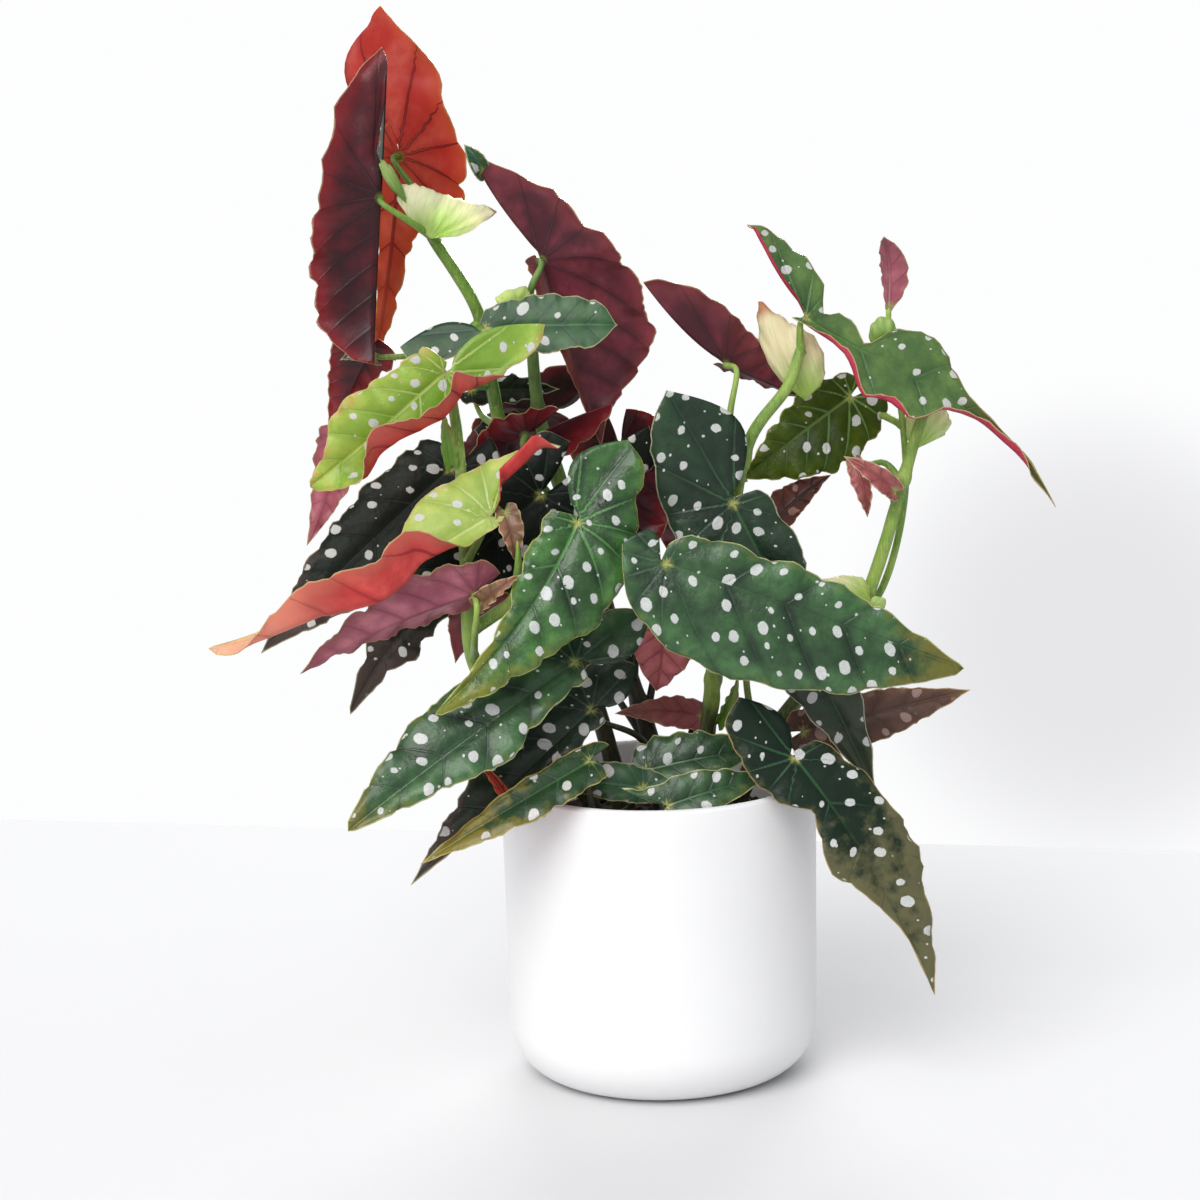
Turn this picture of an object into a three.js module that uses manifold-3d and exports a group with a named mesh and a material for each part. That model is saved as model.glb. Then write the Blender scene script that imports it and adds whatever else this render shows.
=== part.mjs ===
// Potted polka dot begonia. Millimetres, +Z up, origin at the middle of the pot's flat underside.
// The front of the plant looks along -Y.
import * as THREE from "three";
import { mergeVertices } from "three/addons/utils/BufferGeometryUtils.js";
import Module from "manifold-3d";

const wasm = await Module();
wasm.setup();

// Driving dimensions.
const potRadius = 75;
const potHeight = 144;
const potWall = 5;
const potFloor = 7;
const potFootRadius = 52;
const potCornerRise = 26;
const soilTop = 122;
const soilGap = 0.5;
const bladeThickness = 0.8;
const sheathThickness = 0.7;
const stalkRadius = 1.9;
const stalkTipRadius = 1.4;
const stalkLead = 10;
const stalkGap = 1.3;
const stalkSteps = 5;
const caneFootZ = 95;
const caneSteps = 10;
const nodeSpread = 0.014;
const nodeSwell = 0.9;
const holeGap = 0.8;
const tipRows = 8;
const waveCount = 6;
const bendFull = 0.2;

const leafGreen = 0x24463a;
const limeGreen = 0x9db63a;
const burgundy = 0x4a1622;
const backlitRed = 0xb02a22;
const bronze = 0x6b3a35;
const sheathCream = 0xd9dca8;
const caneGreen = 0x7fae4a;
const soilBrown = 0x35281f;
const potWhite = 0xf2f2f0;

const vec = (p) => new THREE.Vector3(p[0], p[1], p[2]);
const radians = THREE.MathUtils.degToRad;

// ---------------------------------------------------------------- leaf blades
// Each blade: heart and tip are the two ends of its midrib, face is the way its top side looks.
// Every pair is [side to the right, side to the left] for a viewer who sees the top side with
// the tip pointing down. edge is a list of [how far past the heart, how far from the midrib] from
// the end of the lobe to the tip; a side without one gets it from wide, back, end and full. over is
// how far the lobe's inner edge passes the midline, fold is the angle at which the half leaves the
// midrib, curl is the bend over each 10 mm of width (minus: the margin rolls to the underside) and
// bendShare scales it at the lobe's end, the heart, a fifth of the way along and the tip.
const bladeDefaults = {
  wide: [10, 10],
  back: [3, 3],
  end: [2, 2],
  over: [0, 0],
  full: [1.8, 1.8],
  edge: [null, null],
  fold: [8, 8],
  curl: [-9, -9],
  bendShare: [[1, 1, 1, 1], [1, 1, 1, 1]],
  arch: 5,
  skew: 0,
  sway: 0,
  wave: 1.4,
  phase: 0,
};

const leaves = [
  // crown of the tall left cane
  { name: "leaf_crown_red", colour: backlitRed, heart: [-114, 28, 437], tip: [-131, 22, 334],
    face: [0.4, 1, 0.05], fold: [-8, 4], curl: [-4, -4], wide: [14, 36], over: [0, 14],
    back: [12, 68], end: [6, 0], full: [0, 0],
    edge: [null, [[-68, -18], [-60, -8], [-47, 10], [-29, 20], [-15, 29], [4, 36], [18, 34],
      [30, 20], [40, 10], [66, 7], [106, 0]]] },
  { name: "leaf_crown_dark", colour: burgundy, heart: [-121, -7, 420], tip: [-127, -12, 344],
    face: [-0.1, 1, 0.1], fold: [6, 80], curl: [-4, 2], wide: [31, 24], back: [68, 64],
    edge: [[[-68, 3], [-52, 17], [-30, 25], [3, 29], [25, 32], [47, 29], [64, 23], [76, 8], [79, 0]],
      [[-64, 3], [-40, 16], [0, 24], [40, 24], [64, 16], [79, 0]]] },
  { name: "leaf_crown_low", colour: burgundy, heart: [-130, 8, 350], tip: [-152, 18, 308],
    face: [0.1, 1, 0.1], wide: [15, 8], back: [3, 3], full: [1, 0] },
  { name: "leaf_back_burgundy", colour: burgundy, heart: [-49, 12, 388], tip: [-23, 12, 300],
    face: [0.05, 1, 0], fold: [86, 4], wide: [12, 34], full: [1, 1], over: [0, 4],
    edge: [null, [[-63, -10], [-45, 0], [-32, 18], [-10, 28], [15, 43], [40, 44], [54, 40],
      [65, 26], [78, 9], [92, 0]]] },
  { name: "leaf_back_wine", colour: burgundy, heart: [36, 10, 337], tip: [90, 22, 312],
    face: [0.0, 1, -0.1], fold: [80, 6], wide: [9, 21],
    edge: [null, [[-53, 21], [-42, 27], [-25, 28], [-1, 22], [10, 17], [40, 12], [60, 0]]] },
  { name: "leaf_right_top", colour: leafGreen, heart: [72, -22, 361], tip: [188, -12, 269],
    face: [0.2, -1, 0.5], wide: [17, 12], sway: 7, skew: 0.4,
    edge: [[[-46, 22], [-36, 27], [-16, 27], [0, 19], [8, 13], [20, 15], [41, 16], [72, 11],
      [102, 6], [125, 4], [148, 0]],
      [[-6, 4], [0, 7], [20, 8], [32, 15], [48, 17], [63, 16], [76, 9], [92, 6], [125, 4], [148, 0]]] },
  { name: "leaf_left_high", colour: leafGreen, heart: [-75, -10, 359], tip: [-14, -19, 360],
    face: [0.0, -1, 0.5], wide: [11, 11], back: [3, 40], end: [1, 8], over: [0, 7] },
  { name: "leaf_lime_high", colour: limeGreen, heart: [-93, -46, 343], tip: [-154, -64, 295],
    face: [0, -1, 0], fold: [0, 8], curl: [68, -9], wide: [27, 18], over: [8, 0],
    bendShare: [[0, 0.9, 1, 0.7], [1, 1, 1, 1]],
    edge: [[[-50, 13], [-40, 19], [-26, 18], [-12, 22], [0, 26], [30, 27], [60, 26], [76, 20],
      [84, 0]],
      [[-4, 3], [-2, 12], [0, 15], [20, 18], [50, 17], [70, 11], [84, 0]]] },
  { name: "leaf_lime_low", colour: limeGreen, heart: [-74, -60, 279], tip: [-200, -90, 228],
    face: [-0.2, -1, 0.3], fold: [0, 4], curl: [68, -14], wide: [26, 24], sway: 7, skew: 0.5,
    bendShare: [[0, 0, 1, 1], [1, 1, 1, 1]],
    edge: [[[-6, 3], [0, 6], [14, 7], [26, 14], [40, 26], [60, 31], [90, 28], [120, 18], [135, 9],
      [147, 0]],
      [[-48, 17], [-38, 24], [-14, 25], [6, 27], [24, 24], [40, 14], [55, 5], [90, 4], [147, 0]]] },
  { name: "leaf_mauve", colour: bronze, heart: [-82, -62, 244], tip: [-161, -78, 213],
    face: [0, 1, 0.5], fold: [0, 40], wide: [22, 14], back: [14, 14], end: [6, 4] },
  { name: "leaf_left_dark", colour: leafGreen, heart: [-94, -5, 293], tip: [-184, -25, 212],
    face: [-0.2, -1, 0.4], wide: [26, 20], back: [24, 8], full: [1.6, 2] },
  { name: "leaf_left_pink", colour: bronze, heart: [-143, 5, 314], tip: [-160, 10, 259],
    face: [0.4, 1, 0.3], wide: [12, 8], full: [1.4, 1], wave: 2.4 },
  { name: "leaf_centre_red", colour: burgundy, heart: [-58, 2, 307], tip: [-87, 2, 290],
    face: [0.1, 1, 0.45], wide: [10, 12], back: [20, 42], end: [4, 8] },
  { name: "leaf_centre_black", colour: burgundy, heart: [-14, 34, 298], tip: [-8, 26, 232],
    face: [0.1, 1, 0.1], wide: [24, 24], back: [16, 16], end: [5, 5] },
  { name: "leaf_centre_bright", colour: leafGreen, heart: [-35, -60, 275], tip: [-101, -80, 193],
    face: [0.1, -1, 0.25], wide: [30, 13], sway: 6, over: [16, 0],
    edge: [[[-44, -1], [-40, 10], [-21, 21], [0, 30], [11, 31], [30, 31], [54, 21], [81, 11], [112, 0]],
      [[-3, 1], [0, 13], [12, 14], [30, 14], [51, 8], [79, 4], [112, 0]]] },
  { name: "leaf_centre_teal", colour: leafGreen, heart: [-52, -22, 282], tip: [-142, -44, 186],
    face: [0.1, -1, 0.3], wide: [28, 22], sway: -7, skew: 0.3,
    edge: [[[-58, 14], [-52, 24], [-40, 29], [-10, 30], [20, 28], [50, 20], [70, 12], [90, 13],
      [105, 8], [136, 0]],
      [[-28, 8], [-24, 20], [0, 22], [30, 30], [61, 27], [90, 14], [136, 0]]] },
  { name: "leaf_right_olive", colour: leafGreen, heart: [95, 20, 319], tip: [43, 14, 282],
    face: [0, -1, 0.3], wide: [16, 12], back: [10, 6], end: [5, 3], full: [2.6, 2] },
  { name: "leaf_right_long", colour: leafGreen, heart: [37, -30, 277], tip: [101, -30, 140],
    face: [0.1, -1, 0.2], wide: [14, 32], over: [0, 22],
    edge: [[[-3, 1], [-1, 13], [10, 17], [23, 19], [38, 18], [80, 17], [120, 10], [151, 0]],
      [[-61, 4], [-52, 15], [-39, 23], [-12, 30], [1, 32], [30, 31], [70, 22], [110, 12], [151, 0]]] },
  { name: "leaf_front_big", colour: leafGreen, heart: [5, -70, 257], tip: [139, -62, 204],
    face: [0.1, -1, 0.25], wide: [15, 31], over: [0, 12],
    edge: [[[-3, 1], [-2, 9], [9, 17], [38, 18], [76, 17], [114, 9], [135, 3], [149, 0]],
      [[-22, -2], [-18, 9], [-9, 24], [2, 31], [20, 38], [49, 40], [92, 30], [121, 16], [149, 0]]] },
  { name: "leaf_front_left", colour: leafGreen, heart: [-38, -52, 209], tip: [-141, -95, 144],
    face: [-0.1, -1, 0.5], wide: [12, 20], over: [0, 12],
    edge: [[[-3, 1], [0, 10], [18, 11], [34, 15], [53, 20], [83, 13], [110, 7], [134, 0]],
      [[-42, -3], [-39, 4], [-26, 13], [0, 20], [40, 24], [75, 22], [110, 11], [134, 0]]] },
  { name: "leaf_low_left", colour: leafGreen, heart: [-18, -28, 183], tip: [-116, -62, 109],
    face: [-0.2, -1, 0.3], wide: [9, 19], back: [3, 40], end: [1, 1], over: [0, 8],
    full: [1.4, 1.6] },
  { name: "leaf_right_brown", colour: bronze, heart: [69, -12, 165], tip: [149, -2, 181],
    face: [0, -1, 0.3], wide: [12, 14], back: [8, 8] },
  { name: "leaf_droop_right", colour: leafGreen, heart: [62, -57, 163], tip: [125, -60, 49],
    face: [0.1, -1, 0.3], wide: [14, 20], over: [0, 9], sway: 4,
    edge: [[[-3, 1], [-1, 12], [14, 19], [36, 23], [62, 24], [86, 16], [110, 8], [130, 0]],
      [[-38, 6], [-32, 17], [-11, 22], [6, 20], [14, 18], [24, 9], [38, 15], [54, 17], [67, 11],
        [94, 2], [130, 0]]] },
  { name: "leaf_rim_left", colour: leafGreen, heart: [-32, -56, 164], tip: [-110, -84, 125],
    face: [-0.2, -1, 0.8], wide: [9, 14], full: [2, 1.6], back: [3, 12], sway: -4 },
  { name: "leaf_rim_dark", colour: leafGreen, heart: [-8, -42, 147], tip: [-54, -32, 149],
    face: [0, -1, 0.6], wide: [8, 10], back: [6, 14], full: [2, 2] },
  { name: "leaf_rim_front", colour: leafGreen, heart: [3, -60, 143], tip: [50, -46, 152],
    face: [0, -1, 0.5], wide: [10, 8], back: [18, 4], end: [15, 2] },
  { name: "leaf_rim_inner", colour: leafGreen, heart: [-6, -30, 155], tip: [42, -18, 168],
    face: [0, -1, 0.6], wide: [12, 10], back: [6, 8] },
  { name: "leaf_right_bronze", colour: bronze, heart: [56, 4, 261], tip: [85, 10, 284],
    face: [0, 1, 0.3], wide: [8, 10] },
  { name: "leaf_young_red", colour: burgundy, heart: [111, -10, 364], tip: [109, -12, 397],
    face: [0.4, 1, 0], wide: [6, 6], full: [1.4, 1.4] },
  { name: "leaf_curl_pink", colour: burgundy, heart: [113, -14, 279], tip: [89, -13, 296],
    face: [0, -1, 0.4], wide: [4, 5], rows: 5 },
  { name: "leaf_curl_salmon", colour: backlitRed, heart: [96, 4, 290], tip: [101, 2, 264],
    face: [-0.4, -1, 0], wide: [4, 4], rows: 5 },
  { name: "leaf_low_pink", colour: backlitRed, heart: [3, 12, 207], tip: [2, 2, 185],
    face: [0.1, -1, 0], wide: [8, 8], back: [6, 6] },
  { name: "leaf_low_wine", colour: burgundy, heart: [22, 18, 167], tip: [-20, 12, 171],
    face: [0, -0.3, 1], wide: [6, 6], back: [4, 4] },
  { name: "leaf_shadow_high", colour: leafGreen, heart: [-84, 30, 326], tip: [-42, 26, 326],
    face: [0, -1, 0.5], wide: [8, 8], back: [6, 6], arch: 0 },
  { name: "leaf_shadow_low", colour: burgundy, heart: [-60, 34, 304], tip: [-84, 38, 306],
    face: [0, -1, 0.2], wide: [10, 10], back: [6, 6] },
  // far side, behind what the front shows
  { name: "leaf_rear_high", colour: leafGreen, heart: [-50, 50, 311], tip: [-108, 92, 236],
    face: [-0.3, 1, 0.5], wide: [26, 16], back: [34, 4], over: [10, 0] },
  { name: "leaf_rear_middle", colour: leafGreen, heart: [6, 58, 272], tip: [44, 108, 184],
    face: [0.3, 1, 0.4], wide: [16, 28], back: [4, 38], over: [0, 12] },
  { name: "leaf_rear_left", colour: leafGreen, heart: [-60, 50, 252], tip: [-100, 108, 178],
    face: [-0.4, 1, 0.4], wide: [26, 16], back: [34, 4], over: [10, 0] },
  { name: "leaf_rear_right", colour: leafGreen, heart: [48, 50, 214], tip: [88, 104, 146],
    face: [0.4, 1, 0.4], wide: [14, 24], back: [4, 34], over: [0, 10] },
  { name: "leaf_rear_low", colour: leafGreen, heart: [-36, 54, 208], tip: [-66, 118, 122],
    face: [-0.2, 1, 0.5], wide: [24, 15], back: [32, 4], over: [10, 0] },
];

// Papery sheaths at the nodes: small boat-shaped blades, the heart end at the cane.
const sheathShape = { fold: [30, 30], curl: [30, 30], full: [2.4, 2.4], wave: 0.8, rows: 4, arch: 2 };
const sheaths = [
  { name: "sheath_crown", heart: [-101, -9, 420], tip: [-70, -16, 405], face: [0.2, -0.7, 0.8],
    wide: [8, 9] },
  { name: "sheath_middle", heart: [-62, 1, 366], tip: [-70, -3, 378], face: [0, -1, 0.2],
    wide: [4, 5] },
  { name: "sheath_right_cream", heart: [76, 3, 329], tip: [47, -1, 363], face: [-0.3, -1, 0.3],
    wide: [9, 10] },
  { name: "sheath_right_green", heart: [105, 4, 344], tip: [102, 2, 364], face: [0, -1, 0],
    wide: [4, 4] },
  { name: "sheath_right_fan", heart: [131, 11, 302], tip: [142, 12, 331], face: [0.2, -1, 0],
    wide: [10, 9] },
  { name: "sheath_right_low", heart: [101, -14, 225], tip: [74, -17, 241], face: [0, -1, 0.4],
    wide: [4, 5] },
  { name: "sheath_low_dark", heart: [34, -6, 163], tip: [44, -10, 186], face: [0.3, -1, 0],
    wide: [4, 4] },
  { name: "sheath_left_front", heart: [-94, -45, 301], tip: [-97, -46, 325], face: [0, -1, 0.1],
    wide: [4, 4] },
];

// Side sign, +1 for the right side and -1 for the left.
const sideSigns = [1, -1];

function bladeFrame(leaf) {
  const heart = vec(leaf.heart);
  const along = vec(leaf.tip).sub(heart);
  const length = along.length();
  along.normalize();
  const up = vec(leaf.face);
  up.addScaledVector(along, -up.dot(along)).normalize();
  const across = up.clone().cross(along);
  return { heart, along, up, across, length };
}

function midrib(leaf, frame, x) {
  const s = x / frame.length;
  const ahead = 4 * s * (1 - s) * (1 + leaf.skew * (2 * s - 1));
  const bow = s < 0 ? (4 * s * (1 - leaf.skew)) / (1 - 5 * s) : ahead;
  const p = frame.heart.clone().addScaledVector(frame.along, x);
  p.addScaledVector(frame.up, leaf.arch * bow);
  return p.addScaledVector(frame.across, leaf.sway * bow);
}

// Smooth curve through an outline's points, as a height over the distance along the midrib.
function curveThrough(list, x) {
  const last = list.length - 1;
  let i = 0;
  while (i < last - 1 && x > list[i + 1][0]) i += 1;
  const [x0, y0] = list[i];
  const [x1, y1] = list[i + 1];
  const before = list[Math.max(i - 1, 0)];
  const after = list[Math.min(i + 2, last)];
  const span = x1 - x0;
  const slope0 = ((y1 - before[1]) / (x1 - before[0])) * span;
  const slope1 = ((after[1] - y0) / (after[0] - x0)) * span;
  const t = Math.min(Math.max((x - x0) / span, 0), 1);
  const rise = t * t * (3 - 2 * t);
  return y0 + (y1 - y0) * rise + slope0 * t * (1 - t) ** 2 - slope1 * t * t * (1 - t);
}

function outlineAt(leaf, frame, side, x) {
  const edge = leaf.edge[side];
  const wide = leaf.wide[side];
  const reach = lobeReach(leaf, side);
  const end = edge ? edge[0][1] : leaf.end[side];
  if (x >= 0) {
    const s = Math.min(x / frame.length, 1);
    return [0, edge ? curveThrough(edge, x) : wide * (1 - s) ** 1.12 * (1 + leaf.full[side] * s)];
  }
  const t = Math.min(-x / reach, 1);
  const clear = lobeReach(leaf, 1 - side) + 3;
  const nearHeart = Math.min((x / clear) ** 2, 1);
  const inner = end * t ** 1.5 - leaf.over[side] * Math.sin(Math.PI * t) * nearHeart;
  const outer = edge ? curveThrough(edge, x) : end + (wide - end) * Math.max(1 - t * t, 0) ** 0.6;
  return [inner + Math.min(-x / 2, 0.9) * (1 - t), outer];
}

function lobeReach(leaf, side) {
  return leaf.edge[side] ? -leaf.edge[side][0][0] : leaf.back[side];
}

function bendAt(leaf, side, x, length) {
  const share = leaf.bendShare[side];
  const s = x / length;
  let part = share[2] + ((share[3] - share[2]) * (s - bendFull)) / (1 - bendFull);
  if (s < bendFull) part = share[1] + ((share[2] - share[1]) * s) / bendFull;
  if (x < 0) part = share[1] + (share[0] - share[1]) * Math.min((-2 * x) / lobeReach(leaf, side), 1);
  return (radians(leaf.curl[side]) / 10) * part;
}

// The top side's direction and the way across the blade, at one place on the midrib.
function ribAxes(leaf, frame, x) {
  const before = midrib(leaf, frame, x - 0.5);
  const tangent = midrib(leaf, frame, x + 0.5).sub(before).normalize();
  const normal = frame.up.clone();
  normal.addScaledVector(tangent, -normal.dot(tangent)).normalize();
  return { normal, sideways: normal.clone().cross(tangent) };
}

function bladePoint(leaf, frame, side, x, v) {
  const [inner, outer] = outlineAt(leaf, frame, side, x);
  const reachBack = lobeReach(leaf, side);
  const run = (x + reachBack) / (frame.length + reachBack);
  const beat = Math.sin(2 * Math.PI * waveCount * run + leaf.phase + 2 * side);
  const scallop = 1 + 0.03 * v * Math.sin(2 * Math.PI * waveCount * run + leaf.phase);
  const y = (inner + (outer - inner) * v) * scallop;
  const here = midrib(leaf, frame, x);
  const { normal, sideways } = ribAxes(leaf, frame, x);
  const fold = radians(leaf.fold[side]);
  const bend = bendAt(leaf, side, x, frame.length);
  let reach = y * Math.cos(fold);
  let rise = y * Math.sin(fold);
  if (y < 0) {
    reach = y;
    rise = 0;
  } else if (Math.abs(bend) > 1e-6) {
    reach = (Math.sin(fold + bend * y) - Math.sin(fold)) / bend;
    rise = (Math.cos(fold) - Math.cos(fold + bend * y)) / bend;
  }
  rise += leaf.wave * v * v * beat * Math.min(1, (1 - run) * 6) * Math.min(1, run * 8);
  here.addScaledVector(sideways, sideSigns[side] * reach);
  return here.addScaledVector(normal, rise);
}

// Rows run from the end of the lobe to the tip. The last row of each end is a single point.
function rowsOf(leaf, frame, side) {
  const rows = [];
  const reach = lobeReach(leaf, side);
  const lobeRows = reach > 24 ? 5 : reach > 9 ? 3 : 2;
  for (let i = 0; i < lobeRows; i += 1) {
    rows.push(-reach * Math.cos((Math.PI / 2) * (i / lobeRows)));
  }
  const count = leaf.rows ?? (frame.length > 60 ? tipRows : 7);
  for (let i = 0; i <= count; i += 1) {
    rows.push((frame.length * i) / count);
  }
  return rows;
}

function bladeSurface(leaf) {
  const frame = bladeFrame(leaf);
  const points = [];
  const faces = [];
  const columns = leaf.columns ?? 2;
  const shared = new Map();
  for (const side of [0, 1]) {
    const rows = rowsOf(leaf, frame, side);
    const grid = rows.map((x, i) => {
      const isEnd = i === 0 || i === rows.length - 1;
      const line = [];
      for (let j = 0; j <= columns; j += 1) {
        const v = isEnd ? 0.5 : j / columns;
        const onMidrib = x >= 0 && (j === 0 || i === rows.length - 1);
        const key = onMidrib ? `mid ${x.toFixed(4)}` : isEnd ? `end ${side} ${i}` : `${side} ${i} ${j}`;
        if (!shared.has(key)) {
          shared.set(key, points.length);
          points.push(bladePoint(leaf, frame, side, x, onMidrib ? 0 : v));
        }
        line.push(shared.get(key));
      }
      return line;
    });
    for (let i = 0; i + 1 < grid.length; i += 1) {
      for (let j = 0; j < columns; j += 1) {
        const quad = [grid[i][j], grid[i + 1][j], grid[i + 1][j + 1], grid[i][j + 1]];
        const order = side === 0 ? [0, 1, 2, 3] : [3, 2, 1, 0];
        const [a, b, c, d] = order.map((k) => quad[k]);
        for (const face of [[a, b, c], [a, c, d]]) {
          if (new Set(face).size === 3) faces.push(face);
        }
      }
    }
  }
  return { points, faces };
}

// A sheet of points and faces becomes one closed solid, half its thickness to each side.
function thicken({ points, faces }, thickness) {
  const normals = points.map(() => new THREE.Vector3());
  const edges = new Map();
  for (const [a, b, c] of faces) {
    const n = points[b].clone().sub(points[a]).cross(points[c].clone().sub(points[a]));
    for (const k of [a, b, c]) normals[k].add(n);
    for (const [p, q] of [[a, b], [b, c], [c, a]]) edges.set(`${p} ${q}`, [p, q]);
  }
  normals.forEach((n) => n.normalize());
  const top = points.map((p, i) => p.clone().addScaledVector(normals[i], thickness / 2));
  const bottom = points.map((p, i) => p.clone().addScaledVector(normals[i], -thickness / 2));
  const count = points.length;
  const index = [];
  for (const [a, b, c] of faces) {
    index.push(a, b, c, count + a, count + c, count + b);
  }
  for (const [p, q] of edges.values()) {
    if (!edges.has(`${q} ${p}`)) {
      index.push(q, p, count + p, q, count + p, count + q);
    }
  }
  return solidFrom([...top, ...bottom], index);
}

function solidFrom(points, index) {
  const geometry = new THREE.BufferGeometry().setFromPoints(points);
  geometry.setIndex(index);
  geometry.computeVertexNormals();
  return geometry;
}

// ---------------------------------------------------------------- joins
function toManifold(geometry) {
  const bare = geometry.clone();
  bare.deleteAttribute("normal");
  bare.deleteAttribute("uv");
  const merged = mergeVertices(bare, 1e-4);
  return new wasm.Manifold(new wasm.Mesh({
    numProp: 3,
    vertProperties: new Float32Array(merged.attributes.position.array),
    triVerts: new Uint32Array(merged.index.array),
  }));
}

function toGeometry(manifold) {
  const mesh = manifold.getMesh();
  const geometry = new THREE.BufferGeometry();
  geometry.setAttribute("position", new THREE.BufferAttribute(new Float32Array(mesh.vertProperties), 3));
  geometry.setIndex(new THREE.BufferAttribute(new Uint32Array(mesh.triVerts), 1));
  geometry.computeVertexNormals();
  return geometry;
}

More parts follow.
